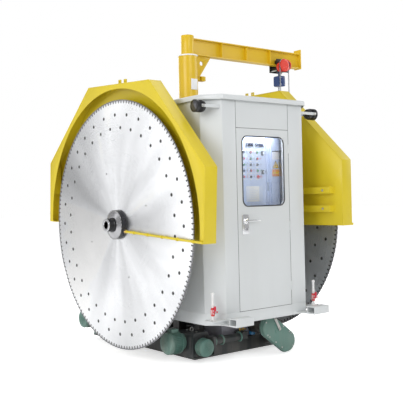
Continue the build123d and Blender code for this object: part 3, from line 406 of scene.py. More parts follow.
def turned(name, stations, at, axis=Z, sides=40, round_edge=0.0):
    """A turned piece. Stations are (distance along the axis, radius), from the first face to the last."""
    bpy.ops.object.select_all(action="DESELECT")
    bpy.ops.mesh.primitive_circle_add(vertices=sides, radius=stations[0][1], fill_type="NGON",
                                      location=(0, 0, stations[0][0]))
    piece = bpy.context.object
    piece.name = name
    bpy.ops.object.mode_set(mode="EDIT")
    bpy.ops.mesh.select_all(action="SELECT")
    last_distance, last_radius = stations[0]
    for distance, radius in stations[1:]:
        bpy.ops.mesh.extrude_region_move(
            TRANSFORM_OT_translate={"value": (0, 0, distance - last_distance)})
        ratio = radius / last_radius
        if abs(ratio - 1) > 1e-6:
            bpy.ops.transform.resize(value=(ratio, ratio, 1))
        last_distance, last_radius = distance, radius
    bpy.ops.mesh.select_all(action="SELECT")
    bpy.ops.mesh.normals_make_consistent(inside=False)
    bpy.ops.object.mode_set(mode="OBJECT")
    turn = Z.rotation_difference(Vector(axis)).to_matrix().to_4x4()
    piece.matrix_world = Matrix.Translation(Vector(at)) @ turn @ Matrix.Translation((0, 0, stations[0][0]))
    settle(piece)
    if round_edge:
        return bevelled(piece, round_edge)
    bpy.ops.object.shade_smooth_by_angle(angle=SMOOTH_ANGLE)
    return piece


def hoop(name, at, axis, major, minor, sides=48, wire_sides=10):
    """A ring of round wire."""
    bpy.ops.object.select_all(action="DESELECT")
    bpy.ops.mesh.primitive_torus_add(major_radius=major, minor_radius=minor, major_segments=sides,
                                     minor_segments=wire_sides, location=at,
                                     rotation=Z.rotation_difference(Vector(axis)).to_euler())
    piece = bpy.context.object
    piece.name = name
    settle(piece)
    bpy.ops.object.shade_smooth()
    return piece


def copies(piece, places):
    """One mesh per matrix, all joined into the first, which keeps the piece's name."""
    made = []
    for place in places:
        twin = piece.copy()
        twin.data = piece.data.copy()
        twin.data.transform(place)
        bpy.context.collection.objects.link(twin)
        made.append(twin)
    name = piece.name
    bpy.data.objects.remove(piece)
    return joined(name, made)


def joined(name, pieces):
    """Several pieces as one."""
    select_only(*pieces)
    if len(pieces) > 1:
        bpy.ops.object.join()
    piece = bpy.context.object
    piece.name = name
    return piece


def finish_piece(piece, body, finish):
    """Gives a piece its finish and the body it moves with."""
    piece.data.materials.clear()
    piece.data.materials.append(MATERIALS[finish])
    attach(piece, body)
    return piece


def hex_bolts(name, places, axis, size, body, finish="bolt zinc"):
    """Hexagon bolt heads on round washers, standing along an axis."""
    washer = turned("washer", [(0, size * 0.62), (size * 0.12, size * 0.62)], (0, 0, 0), axis, 20)
    head = turned("head", [(0, size * 0.5), (size * 0.32, size * 0.5), (size * 0.38, size * 0.42)],
                  Vector(axis) * size * 0.12, axis, 6)
    bolt = joined(name, [head, washer])
    return finish_piece(copies(bolt, [Matrix.Translation(Vector(p)) for p in places]), body, finish)


def softened(node, name, finish, width):
    """A clean copy of a frame part with rounded edges, which stands in for it."""
    source = NODES[node]
    piece = source.copy()
    piece.data = source.data.copy()
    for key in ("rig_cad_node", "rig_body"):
        if key in piece:
            del piece[key]
    piece.parent = None
    piece.name = name
    bpy.context.collection.objects.link(piece)
    select_only(piece)
    bpy.ops.object.mode_set(mode="EDIT")
    bpy.ops.mesh.select_all(action="SELECT")
    bpy.ops.mesh.remove_doubles(threshold=0.00005)
    bpy.ops.mesh.dissolve_limited(angle_limit=0.01)
    bpy.ops.object.mode_set(mode="OBJECT")
    bevelled(piece, width, 2, 0.7)
    finish_piece(piece, source["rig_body"], finish)
    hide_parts(node)
    return piece


def bead(name, start, end, radius, body, finish):
    """A welded seam: a thin bar with rippled skin between two points."""
    start, end = Vector(start), Vector(end)
    run = end - start
    ripples = max(4, int(run.length / 0.012))
    stations = []
    for index in range(ripples + 1):
        stations.append((run.length * index / ripples, radius * (1.0 if index % 2 else 0.82)))
    piece = turned(name, stations, start, run.normalized(), 8)
    return finish_piece(piece, body, finish)


def circle_places(centre, axis, ring, count, start=0.0):
    """Points spaced round a ring."""
    turn = Z.rotation_difference(Vector(axis)).to_matrix()
    return [Vector(centre) + turn @ Vector((ring * math.cos(start + 2 * math.pi * i / count),
                                            ring * math.sin(start + 2 * math.pi * i / count), 0))
            for i in range(count)]


# ---- Finishes on the frame's own parts ----------------------------------------------------------
NODE_FINISH = {
    "cabin enamel": ("floor_frame", "left_side_wall", "right_side_wall", "rear_wall", "front_left_panel",
                     "front_right_panel", "front_header", "roof_cap", "door_panel", "corner_brackets"),
    "guard enamel": ("left_guard", "right_guard", "water_feed_pipes"),
    "jib enamel": ("jib_mast", "jib_arm"),
    "ground steel": ("left_blade", "right_blade"),
    "flange steel": ("blade_flanges",),
    "black enamel": ("support_legs", "top_frame", "lift_barrels", "chain_case_motor", "spindle_housing",
                     "spindle_nuts", "left_lamp", "right_lamp", "hoist_trolley"),
    "turned steel": ("guide_columns", "spindle_shaft", "spindle_pulley", "motor_pulley", "front_wheelset",
                     "rear_wheelset"),
    "green enamel": ("rapid_travel_motor", "feed_motor", "chain_case", "rear_gearmotor", "main_motor"),
    "chassis enamel": ("trolley_frame", "travel_gearbox", "cross_tube", "carriage_frame"),
    "tank enamel": ("hydraulic_tank",),
    "panel enamel": ("control_cabinet", "instrument_panel"),
    "bright chrome": ("handle_plate", "door_lever", "lift_rods"),
    "hoist enamel": ("hoist_body", "hook_block"),
    "chain zinc": ("load_chain", "hand_chain"),
    "filter enamel": ("return_filter",),
    "valve vinyl": ("left_valve_lever", "right_valve_lever"),
    "white pipe": ("water_standpipes",),
    "belt rubber": ("drive_belt",),
    "button black": ("push_buttons",),
    "stop red": ("stop_button",),
    "float glass": ("door_glass",),
}


def flange_steel():
    """Black flange rings whose outer cones are bright turned steel."""
    made = material("flange steel", "metal", {"Metal": (0.50, 0.50, 0.52, 1), "Grain Scale": 90.0,
                                              "Grain Roughness": 0.22, "Oil": 0.2}, bump=0.15)
    tree = made.node_tree
    bsdf = tree.nodes["Principled BSDF"]
    bright = tree.nodes["Group"].outputs["Colour"]
    place = add_node(tree, "ShaderNodeTexCoord").outputs["Object"]
    out_from_middle = maths(tree, "ABSOLUTE", add_node(tree, "ShaderNodeSeparateXYZ", {0: place}).outputs[0])
    cone_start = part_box("blade_flanges")[1].x - 0.0253
    mask = maths(tree, "GREATER_THAN", out_from_middle, cone_start)
    tree.links.new(mixed(tree, mask, (0.018, 0.018, 0.022, 1), bright), bsdf.inputs["Base Color"])
    tree.links.new(mask, bsdf.inputs["Metallic"])


def float_glass():
    """Clear window glass with a faint smear."""
    made = material("float glass", "moulded", {"Tint": (0.9, 0.97, 1.0, 1), "Pebble Scale": 3.0,
                                               "Skin Roughness": 0.02}, bump=0.01)
    bsdf = made.node_tree.nodes["Principled BSDF"]
    for link in list(bsdf.inputs["Roughness"].links) + list(bsdf.inputs["Base Color"].links):
        made.node_tree.links.remove(link)
    bsdf.inputs["Base Color"].default_value = (0.90, 0.96, 1.0, 1)
    bsdf.inputs["Roughness"].default_value = 0.02
    bsdf.inputs["Transmission Weight"].default_value = 1.0
    bsdf.inputs["Alpha"].default_value = 0.25
    bsdf.inputs["IOR"].default_value = 1.45


class SAW_OT_finishes(bpy.types.Operator):
    """Make every paint and metal, and put them on the frame's own parts"""

    bl_idname = "saw.finishes"
    bl_label = "Apply Finishes"

    def execute(self, context):
        tints = context.scene.saw_colours
        GROUPS.update(enamel=enamel_group(), steel=ground_steel_group(), metal=worked_metal_group(),
                      moulded=fine_grain_group())
        paint("cabin enamel", tints.cabin, 0.34, 0.02, 0.10, 0.0)
        paint("guard enamel", tints.guard, 0.42, 0.05, 0.12, 0.02)
        paint("jib enamel", tints.jib, 0.38, 0.04, 0.1, 0.02)
        paint("green enamel", tints.green, 0.30, 0.06, 0.45, 0.08)
        paint("chassis enamel", tints.chassis, 0.42, 0.10, 0.35, 0.15)
        paint("tank enamel", (0.36, 0.35, 0.40), 0.36, 0.05, 0.4, 0.05)
        paint("panel enamel", tints.panel, 0.35, 0.03, 0.0, 0.0)
        paint("trolley enamel", tints.trolley, 0.26, 0.05, 0.0, 0.06)
        paint("hoist enamel", tints.hoist, 0.26, 0.05, 0.0, 0.05)
        paint("filter enamel", (0.02, 0.20, 0.42), 0.25, 0.04, 0.3, 0.0)
        paint("black enamel", (0.012, 0.012, 0.014), 0.30, 0.10, 0.35, 0.04)
        paint("label orange", (0.90, 0.33, 0.02), 0.4, 0.02, 0.0, 0.0)
        paint("label yellow", (0.88, 0.60, 0.02), 0.4, 0.02, 0.0, 0.0)
        paint("label white", (0.86, 0.87, 0.88), 0.4, 0.02, 0.0, 0.0)
        paint("label red", (0.62, 0.04, 0.04), 0.4, 0.02, 0.0, 0.0)
        metal("turned steel", (0.55, 0.55, 0.57), 0.32, 80.0, 0.4)
        metal("bolt zinc", (0.62, 0.62, 0.60), 0.36, 120.0, 0.3)
        metal("bright chrome", (0.82, 0.83, 0.85), 0.12, 200.0, 0.05)
        metal("chain zinc", (0.36, 0.38, 0.42), 0.38, 120.0, 0.4)
        metal("fitting brass", (0.72, 0.50, 0.16), 0.30, 90.0, 0.2)
        metal("diamond segment", (0.30, 0.30, 0.32), 0.50, 160.0, 0.3)
        moulded("belt rubber", (0.02, 0.02, 0.02), 0.55)
        moulded("gasket rubber", (0.028, 0.032, 0.036), 0.5)
        moulded("button black", (0.02, 0.02, 0.024), 0.3)
        moulded("button red", (0.60, 0.03, 0.03), 0.28)
        moulded("button green", (0.03, 0.30, 0.10), 0.28)
        moulded("stop red", (0.66, 0.02, 0.02), 0.25)
        moulded("valve vinyl", (0.62, 0.015, 0.05), 0.35)
        moulded("white pipe", (0.80, 0.80, 0.80), 0.35)
        moulded("meter face", (0.02, 0.03, 0.045), 0.15)
        moulded("lamp lens", (0.05, 0.05, 0.06), 0.08, 40.0)
        flange_steel()
        float_glass()
        ground = material("ground steel", "steel",
                          {"Steel": (0.85, 0.86, 0.88, 1), "Centre Height": SPINDLE.z,
                                                    "Sweep": 0.20, "Reach": BLADE_REACH},
                          bump=0.05, bump_distance=0.0002, Metallic=1.0)
        ringed(ground)
        for finish, nodes in NODE_FINISH.items():
            for node in nodes:
                slots = NODES[node].data.materials
                slots.clear()
                slots.append(MATERIALS[finish])
        return {"FINISHED"}


# ---- Stage --------------------------------------------------------------------------------------
def soft_box(name, at, aim, size, power, tint=(1, 1, 1)):
    """A large soft light aimed at a point."""
    bpy.ops.object.light_add(type="AREA", location=at)
    light = bpy.context.object
    light.name = name
    light.data.shape = "RECTANGLE"
    light.data.size, light.data.size_y = size
    light.data.energy = power
    light.data.color = tint
    light.visible_camera = False
    light.rotation_euler = (Vector(aim) - Vector(at)).to_track_quat("-Z", "Y").to_euler()
    return light


class SAW_OT_stage(bpy.types.Operator):
    """Set out the floor, the soft lights and the camera"""

    bl_idname = "saw.stage"
    bl_label = "Set The Stage"

    def execute(self, context):
        bpy.ops.object.select_all(action="DESELECT")
        bpy.ops.mesh.primitive_plane_add(size=160.0, location=(0, 0, cad_low.z - 0.004))
        floor = bpy.context.object
        floor.name = "pale_floor"
        pale = bpy.data.materials.new("pale floor")
        pale.use_nodes = True
        tree = pale.node_tree
        grain = noise(tree, add_node(tree, "ShaderNodeTexCoord").outputs["Object"], 0.6, 4.0)
        tree.links.new(span(tree, grain, 0.3, 0.7, 0.80, 0.84),
                       tree.nodes["Principled BSDF"].inputs["Roughness"])
        tree.nodes["Principled BSDF"].inputs["Base Color"].default_value = (0.93, 0.93, 0.93, 1)
        tree.nodes["Principled BSDF"].inputs["Emission Color"].default_value = (1, 1, 1, 1)
        seen = add_node(tree, "ShaderNodeLightPath").outputs["Is Camera Ray"]
        tree.links.new(span(tree, seen, 0.0, 1.0, 0.10, 0.62),
                       tree.nodes["Principled BSDF"].inputs["Emission Strength"])
        floor.data.materials.append(pale)
        aim = (0, 0, 1.7)
        soft_box("door side softbox", (-1.5, -11.0, 6.5), aim, (7.0, 5.0), 330)
        soft_box("blade side softbox", (-11.0, -3.0, 5.0), aim, (6.0, 5.0), 530)
        soft_box("blade card", (-7.2, 5.2, 2.6), (-1.1, -0.3, 1.7), (2.4, 4.6), 58)
        soft_box("overhead softbox", (1.0, 1.5, 11.0), aim, (9.0, 9.0), 380)
        soft_box("far side softbox", (9.0, -3.0, 5.0), aim, (5.0, 5.0), 200)
        soft_box("rear softbox", (3.0, 11.0, 6.0), aim, (7.0, 5.0), 300)
        soft_box("cabinet strip light", (-0.02, -1.325, 2.625), (-0.02, -1.275, 2.1), (0.55, 0.03), 2.2)
        world = bpy.data.worlds.new("pale surround")
        world.use_nodes = True
        sky = world.node_tree.nodes["Background"]
        seen = add_node(world.node_tree, "ShaderNodeLightPath").outputs["Is Camera Ray"]
        world.node_tree.links.new(span(world.node_tree, seen, 0.0, 1.0, 0.46, 1.0), sky.inputs["Strength"])
        sky.inputs["Color"].default_value = (1, 1, 1, 1)
        context.scene.world = world
        context.scene.view_settings.view_transform = "Standard"
        bpy.ops.object.camera_add(location=(-5.866, -7.567, 1.89))
        camera = bpy.context.object
        camera.name = "door_corner_camera"
        heading, tilt, roll = math.radians(38.59), math.radians(-0.11), math.radians(-1.381)
        turn = Matrix.Rotation(-heading, 4, "Z") @ Matrix.Rotation(math.pi / 2 + tilt, 4, "X") \
            @ Matrix.Rotation(roll, 4, "Z")
        camera.matrix_world = Matrix.Translation(camera.location) @ turn
        camera.data.lens = 65.54
        camera.data.sensor_width = 36.0
        camera.data.clip_end = 200.0
        context.scene.camera = camera
        return {"FINISHED"}


# ---- Guards, cabin and frame plates ---------------------------------------------------------------
SOFTENED = (("left_guard", "guard enamel", "guard_yellow", 1.0),
            ("right_guard", "guard enamel", "guard_yellow", 1.0),
            ("roof_cap", "cabin enamel", "cabin_paint", 0.8),
            ("front_left_panel", "cabin enamel", "cabin_paint", 0.5),
            ("front_right_panel", "cabin enamel", "cabin_paint", 0.5),
            ("jib_arm", "jib enamel", "jib_yellow", 0.8),
            ("corner_brackets", "cabin enamel", "cabin_paint", 0.6),
            ("floor_frame", "cabin enamel", "cabin_paint", 0.8),
            ("trolley_frame", "chassis enamel", "chassis_grey", 0.8),
            ("control_cabinet", "panel enamel", "panel_blue", 0.6))


class SAW_OT_plates(bpy.types.Operator):
    """Round the edges of the folded and welded plate parts"""

    bl_idname = "saw.plates"
    bl_label = "Round Plate Edges"

    def execute(self, context):
        width = context.scene.saw_sizes.edge_round
        for node, finish, slot, share in SOFTENED:
            softened(node, node + "_plates", finish, width * share)
        return {"FINISHED"}


class SAW_OT_guard_fittings(bpy.types.Operator):
    """Weld seams, ribs, pipe clips and rail bolts of the blade guards"""

    bl_idname = "saw.guard_fittings"
    bl_label = "Add Guard Fittings"

    def execute(self, context):
        sizes = context.scene.saw_sizes
        for side, name in SIDES:
            low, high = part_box(name + "_guard")
            pitch = math.radians(3.5) if side < 0 else 0.0
            lean = Matrix.Translation(SPINDLE) @ Matrix.Rotation(pitch, 4, "X") @ Matrix.Translation(-SPINDLE)
            half_width, top_half_width, shoulder, crown = 1.700, 0.6732, 0.7225, 1.687
            ring = [(-half_width, -0.077), (-half_width, shoulder), (-top_half_width, crown),
                    (top_half_width, crown), (half_width, shoulder), (half_width, -0.077)]
            face = high.x if side > 0 else low.x
            back = SPINDLE.x + side * 1.0
            pipe_x, pipe_z = side * 1.1745, SPINDLE.z - 0.063
            seam_share = 0.9985
            seams = []
            for (y0, z0), (y1, z1) in zip(ring, ring[1:]):
                for x in (face - side * 0.001, back + side * 0.001):
                    start = lean @ Vector((x, y0 * seam_share, SPINDLE.z + z0 * seam_share))
                    end = lean @ Vector((x, y1 * seam_share, SPINDLE.z + z1 * seam_share))
                    seams.append(bead("seam", start, end, sizes.weld_bead, "carriage", "guard enamel"))
            finish_piece(joined(name + "_guard_weld_seams", seams), "carriage", "guard enamel")
            # upright ribs inside the hood's two ends
            ribs = []
            for (y0, z0), (y1, z1) in (((-1.64, 0.30), (-1.64, 0.66)), ((1.64, 0.30), (1.64, 0.66))):
                ribs.append(slab("rib", (min(back, face) + 0.010, y0 - 0.004, SPINDLE.z + z0),
                                 (max(back, face) - 0.030, y1 + 0.004, SPINDLE.z + z1), 0.002))
            for rib in ribs:
                rib.data.transform(lean)
            finish_piece(joined(name + "_guard_ribs", ribs), "carriage", "guard enamel")
            clips = []
            for step in range(5):
                y = -0.42 - 0.28 * step
                at = lean @ Vector((pipe_x, y, pipe_z))
                clip = turned("clip", [(-0.012, 0.0155), (-0.012, 0.0195), (0.012, 0.0195), (0.012, 0.0155)],
                              at, lean.to_3x3() @ Y, 28)
                clips.append(clip)
            finish_piece(joined(name + "_pipe_clips", clips), "carriage", "guard enamel")
            end_cap = turned(name + "_pipe_cap", [(-0.030, 0.0215), (0.0, 0.0215), (0.006, 0.018)],
                             lean @ Vector((pipe_x, -0.232, pipe_z)), lean.to_3x3() @ Y, 6, 0.001)
            finish_piece(end_cap, "carriage", "fitting brass")
            holes = [lean @ Vector((side * 0.918, y, SPINDLE.z + z))
                     for y in (-1.45, -1.05, -0.65, 0.65, 1.05, 1.45)
                     for z in (0.130, 0.355)]
            hex_bolts(name + "_rail_bolts", holes, -X * side, sizes.bolt_head, "carriage")
        return {"FINISHED"}


# ---- Door -----------------------------------------------------------------------------------------
def window_strip(name, low, high, corner, radius, depth):
    """A rubber strip that follows a round-cornered window in the XZ plane."""
    bpy.ops.object.select_all(action="DESELECT")
    bpy.ops.curve.primitive_bezier_circle_add(radius=corner)
    strip = bpy.context.object
    strip.name = name
    spline = strip.data.splines[0]
    spline.type = "POLY"
    points = []
    centres = ((high[0] - corner, high[1] - corner), (low[0] + corner, high[1] - corner),
               (low[0] + corner, low[1] + corner), (high[0] - corner, low[1] + corner))
    for quarter, (x, z) in enumerate(centres):
        for step in range(9):
            turn = math.pi / 2 * (quarter + step / 8)
            points.append((x + corner * math.cos(turn), z + corner * math.sin(turn)))
    spline.points.add(len(points) - len(spline.points))
    for point, (x, z) in zip(spline.points, points):
        point.co = (x, depth, z, 1)
    spline.use_cyclic_u = True
    strip.data.dimensions = "3D"
    strip.data.bevel_depth = radius
    strip.data.bevel_resolution = 4
    select_only(strip)
    bpy.ops.object.convert(target="MESH")
    bpy.ops.object.shade_smooth()
    return bpy.context.object


class SAW_OT_door(bpy.types.Operator):
    """Window rubber, dark seam strips of painted shade, hinges, lock and shaped handle of the cabin door"""

    bl_idname = "saw.door"
    bl_label = "Fit The Door"

    def execute(self, context):
        sizes = context.scene.saw_sizes
        glass_low, glass_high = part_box("door_glass")
        door_low, door_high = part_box("door_panel")
        strip = window_strip("window_gasket", (glass_low.x, glass_low.z), (glass_high.x, glass_high.z), 0.075,
                             sizes.gasket, door_low.y - 0.001)
        finish_piece(strip, "door", "gasket rubber")
        # painted shade: thin black strips in the seams round the door and up to the roof; the gaps are real,
        # their darkness is painted shade
        roof_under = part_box("roof_cap")[0].z
        seam_back, seam_front = door_low.y + 0.004, door_low.y - 0.0006
        lines = []
        for x in (door_low.x - 0.001, door_high.x + 0.001):
            lines.append(slab("line", (x - 0.0026, seam_front, door_low.z - 0.003),
                              (x + 0.0026, seam_back, roof_under), 0.0006))
        for z in (door_low.z - 0.001, door_high.z + 0.001):
            lines.append(slab("line", (door_low.x, seam_front, z - 0.0026),
                              (door_high.x, seam_back, z + 0.0026), 0.0006))
        finish_piece(joined("door_seam_shade_strips", lines), "root", "gasket rubber")
        lock_low, lock_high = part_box("handle_plate")
        middle_x = (lock_low.x + lock_high.x) / 2
        front = lock_low.y
        pivot = middle_of("door_lever")
        pivot_x, pivot_z = middle_x, pivot.z
        plate = slab("handle_backplate", (lock_low.x, front, lock_low.z),
                     (lock_high.x, door_low.y, lock_high.z),
                     0.005, 3)
        finish_piece(plate, "door", "bright chrome")
        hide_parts("handle_plate")
        raised = slab("lock_cover", (middle_x - 0.034, front - 0.007, lock_low.z + 0.012),
                      (middle_x + 0.034, front, lock_low.z + 0.118), 0.003, 3)
        finish_piece(raised, "door", "bright chrome")
        finish_piece(turned("lock_barrel", [(0, 0.0175), (0.006, 0.0175), (0.008, 0.0155), (0.008, 0.0115),
                                            (0.005, 0.0105)],
                            (middle_x, front - 0.0065, lock_low.z + 0.062), -Y, 36), "door", "turned steel")
        finish_piece(slab("key_slot", (middle_x - 0.0012, front - 0.0135, lock_low.z + 0.056),
                          (middle_x + 0.0012, front - 0.0110, lock_low.z + 0.068), 0.0004), "door",
                          "button black")
        rosette = turned("lever_rosette", [(0, 0.034), (0.004, 0.034), (0.008, 0.029), (0.012, 0.018),
                                           (0.020, 0.0135)],
                         (pivot_x, front, pivot_z), -Y, 44)
        finish_piece(rosette, "door", "bright chrome")
        low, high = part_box("door_lever")
        grip_y = low.y + 0.009
        stem = turned("lever_stem", [(0, 0.010), (high.y - grip_y, 0.010)], (pivot_x, high.y, pivot_z), -Y,
                      28)
        bpy.ops.object.select_all(action="DESELECT")
        bpy.ops.curve.primitive_bezier_curve_add()
        grip = bpy.context.object
        grip.data.dimensions = "3D"
        first, last = grip.data.splines[0].bezier_points
        first.co, first.handle_left, first.handle_right = \
            (pivot_x, grip_y, pivot_z), (pivot_x - 0.01, grip_y, pivot_z), \
            (pivot_x + 0.06, grip_y, pivot_z + 0.004)
        last.co, last.handle_left, last.handle_right = \
            (high.x - 0.008, grip_y + 0.006, pivot_z - 0.004), (high.x - 0.07, grip_y, pivot_z + 0.006), \
            (high.x, grip_y + 0.01, pivot_z - 0.006)
        first.radius, last.radius = 1.0, 0.75
        grip.data.bevel_depth = 0.0105
        grip.data.bevel_resolution = 6
        grip.data.use_fill_caps = True
        grip.data.resolution_u = 18
        select_only(grip)
        bpy.ops.object.convert(target="MESH")
        grip = bpy.context.object
        bpy.ops.object.shade_smooth_by_angle(angle=0.8)
        knuckle = turned("knuckle", [(-0.011, 0.004), (-0.010, 0.0105), (0.010, 0.0115), (0.011, 0.004)],
                         (pivot_x, grip_y, pivot_z), -Y, 28)
        tip = turned("tip", [(-0.006, 0.004), (-0.004, 0.0072), (0.002, 0.0082), (0.006, 0.0065),
                             (0.008, 0.003)],
                     (high.x - 0.008, grip_y + 0.006, pivot_z - 0.004), X, 28)
        lever = joined("lever_handle", [grip, stem, knuckle, tip])
        finish_piece(lever, "lever", "bright chrome")
        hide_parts("door_lever")
        screws = [(middle_x, front - 0.001, z) for z in (lock_low.z + 0.134, lock_high.z - 0.014)]
        head = turned("plate_screws", [(0, 0.006), (0.0015, 0.006), (0.003, 0.004)], (0, 0, 0), -Y, 20)
        finish_piece(copies(head, [Matrix.Translation(p) for p in screws]), "door", "turned steel")
        knuckles, pins = [], []
        hinge_x = door_high.x + 0.001
        for z in (door_low.z + 0.22, (door_low.z + door_high.z) / 2 - 0.1, door_high.z - 0.22):
            knuckles.append(turned("knuckle", [(-0.048, 0.005), (-0.048, 0.0078), (0.048, 0.0078),
                                               (0.048, 0.005)],
                                   (hinge_x, door_low.y - 0.0006, z), Z, 24, 0.001))
            pins.append(turned("pin", [(-0.054, 0.0035), (-0.053, 0.0048), (0.053, 0.0048), (0.055, 0.0035)],
                               (hinge_x, door_low.y - 0.0006, z), Z, 20))
        finish_piece(joined("hinge_knuckles", knuckles), "root", "cabin enamel")
        finish_piece(joined("hinge_pins", pins), "root", "bolt zinc")
        return {"FINISHED"}


# ---- Electrical cabinet -----------------------------------------------------------------------------
BUTTON_COLUMNS = (-0.199, -0.090, 0.014)
BUTTON_ROWS = (2.414, 2.340, 2.270, 2.200, 2.129)
METER_PLACES = (-0.105, 0.055)
METER_HEIGHT = 2.502
SWITCH_PLACES = ((0.100, 2.405), (0.100, 2.185))


class SAW_OT_cabinet(bpy.types.Operator):
    """Meters, push-button bezels and caps, switches, folds and plain signs on the electrical cabinet"""

    bl_idname = "saw.cabinet"
    bl_label = "Fit The Cabinet"

    def execute(self, context):
        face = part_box("instrument_panel")[0].y
        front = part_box("push_buttons")[0].y
        stop_x, stop_z = BUTTON_COLUMNS[-1], BUTTON_ROWS[-1]
        spots = [(x, z) for x in BUTTON_COLUMNS for z in BUTTON_ROWS]
        bezel = turned("button_bezels", [(-0.001, 0.0148), (0, 0.0195), (0.004, 0.0190), (0.006, 0.0160),
                                         (0.006, 0.0148)],
                       (0, 0, 0), -Y, 32)
        finish_piece(copies(bezel, [Matrix.Translation((x, face, z)) for x, z in spots]), "root",
                     "bright chrome")
        groups = {"button red": [], "button green": [], "button black": []}
        order = ("button black", "button red", "button green", "button black", "button red",
                 "button red", "button green", "button black", "button red", "button black",
                 "button green", "button red", "button black", "button green")
        for (x, z), finish in zip([spot for spot in spots if spot != (stop_x, stop_z)], order):
            groups[finish].append(turned("cap", [(0, 0.0138), (0.002, 0.0136), (0.0038, 0.0110),
                                                 (0.0044, 0.006)],
                                         (x, front, z), -Y, 28))
        for finish, caps in groups.items():
            finish_piece(joined(finish.replace("button ", "") + "_button_caps", caps), "root", finish)
        stop = turned("stop_mushroom", [(-0.0095, 0.0135), (0.0, 0.0135), (0.001, 0.0200), (0.007, 0.0210),
                                        (0.012, 0.0175), (0.014, 0.010)], (stop_x, front, stop_z), -Y, 36)
        finish_piece(stop, "stop_cap", "stop red")
        tags = [slab("tag", (x - 0.021, face - 0.0014, z - 0.037), (x + 0.021, face, z - 0.025), 0.0004)
                for x, z in spots]
        finish_piece(joined("button_name_strips", tags), "root", "label white")
        frames, windows, needles = [], [], []
        for x in METER_PLACES:
            frames.append(slab("frame", (x - 0.062, face - 0.009, METER_HEIGHT - 0.019),
                               (x + 0.062, face, METER_HEIGHT + 0.019), 0.002))
            windows.append(slab("window", (x - 0.053, face - 0.0105, METER_HEIGHT - 0.012),
                                (x + 0.053, face - 0.0085, METER_HEIGHT + 0.012), 0.0004))
            for step in range(6):
                needles.append(slab("bar", (x - 0.043 + step * 0.016, face - 0.0112, METER_HEIGHT - 0.006),
                                    (x - 0.034 + step * 0.016, face - 0.0104, METER_HEIGHT + 0.006), 0.0))
        finish_piece(joined("meter_frames", frames), "root", "button black")
        finish_piece(joined("meter_windows", windows), "root", "meter face")
        finish_piece(joined("meter_bars", needles), "root", "hoist enamel")
        bases, keys = [], []
        for x, z in SWITCH_PLACES:
            bases.append(slab("base", (x - 0.018, face - 0.012, z - 0.026), (x + 0.018, face, z + 0.026),
                              0.002))
            bases.append(turned("dial", [(0, 0.0135), (0.006, 0.0125), (0.008, 0.0115)],
                                (x, face - 0.012, z), -Y, 30))
            keys.append(slab("grip", (x - 0.003, face - 0.028, z - 0.011),
                             (x + 0.003, face - 0.019, z + 0.011), 0.001))
        finish_piece(joined("selector_switch_bases", bases), "root", "button black")
        finish_piece(joined("selector_switch_grips", keys), "root", "label white")
        panel_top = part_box("instrument_panel")[1].z
        divider = [slab("fold", (x, face - 0.010, 1.70), (x + 0.006, face + 0.006, panel_top), 0.001)
                   for x in (0.160, 0.201, 0.239)]
        finish_piece(joined("divider_folds", divider), "root", "panel enamel")
        gland = [slab("vent", (0.176, face - 0.003, 2.06 - 0.012 * step),
                      (0.190, face + 0.006, 2.066 - 0.012 * step),
                      0.0006) for step in range(9)]
        finish_piece(joined("divider_latch_slots", gland), "root", "gasket rubber")
        lower = slab("lower_instruction_plate", (-0.165, face - 0.0016, 1.84), (0.040, face, 2.02), 0.0005)
        finish_piece(lower, "root", "label white")
        lines = [slab("line", (-0.150, face - 0.0022, 1.865 + 0.020 * step),
                      (-0.150 + (0.165, 0.120, 0.150, 0.100, 0.140, 0.165, 0.110)[step], face - 0.0014,
                       1.869 + 0.020 * step), 0.0) for step in range(7)]
        finish_piece(joined("lower_plate_rulings", lines), "root", "panel enamel")
        sign_left, sign_right, sign_top = 0.262, 0.372, 2.425
        sign = slab("blank_sign", (sign_left, face - 0.002, 2.335), (sign_right, face, sign_top), 0.0005)
        finish_piece(sign, "root", "label white")
        finish_piece(slab("sign_bar", (sign_left, face - 0.003, sign_top), (sign_right, face, 2.440),
                          0.0005), "root",
                     "button black")
        finish_piece(slab("orange_notice", (0.258, face - 0.002, 2.135), (0.374, face, 2.218), 0.0005),
                     "root",
                     "label orange")
        finish_piece(slab("notice_band", (0.268, face - 0.0028, 2.165), (0.364, face - 0.0015, 2.188),
                          0.0004), "root",
                     "label yellow")
        triangle_x, triangle_z = 0.317, 2.262
        for name, size, depth, finish in (("triangle_border", 0.062, 0.0018, "button black"),
                                          ("triangle_field", 0.052, 0.0028, "label yellow")):
            flat = turned(name, [(0, size), (depth, size)], (triangle_x, face, triangle_z), -Y, 3)
            finish_piece(flat, "root", finish)
        mark = slab("triangle_mark", (0.3135, face - 0.0036, 2.253), (0.3205, face - 0.0025, 2.284), 0.0006)
        dot = slab("dot", (0.3135, face - 0.0036, 2.240), (0.3205, face - 0.0025, 2.247), 0.0006)
        finish_piece(joined("triangle_mark", [mark, dot]), "root", "button black")
        return {"FINISHED"}


# ---- Blades and hub -------------------------------------------------------------------------------
TOOTH_COUNT = 160
HOLE_COUNT = 32


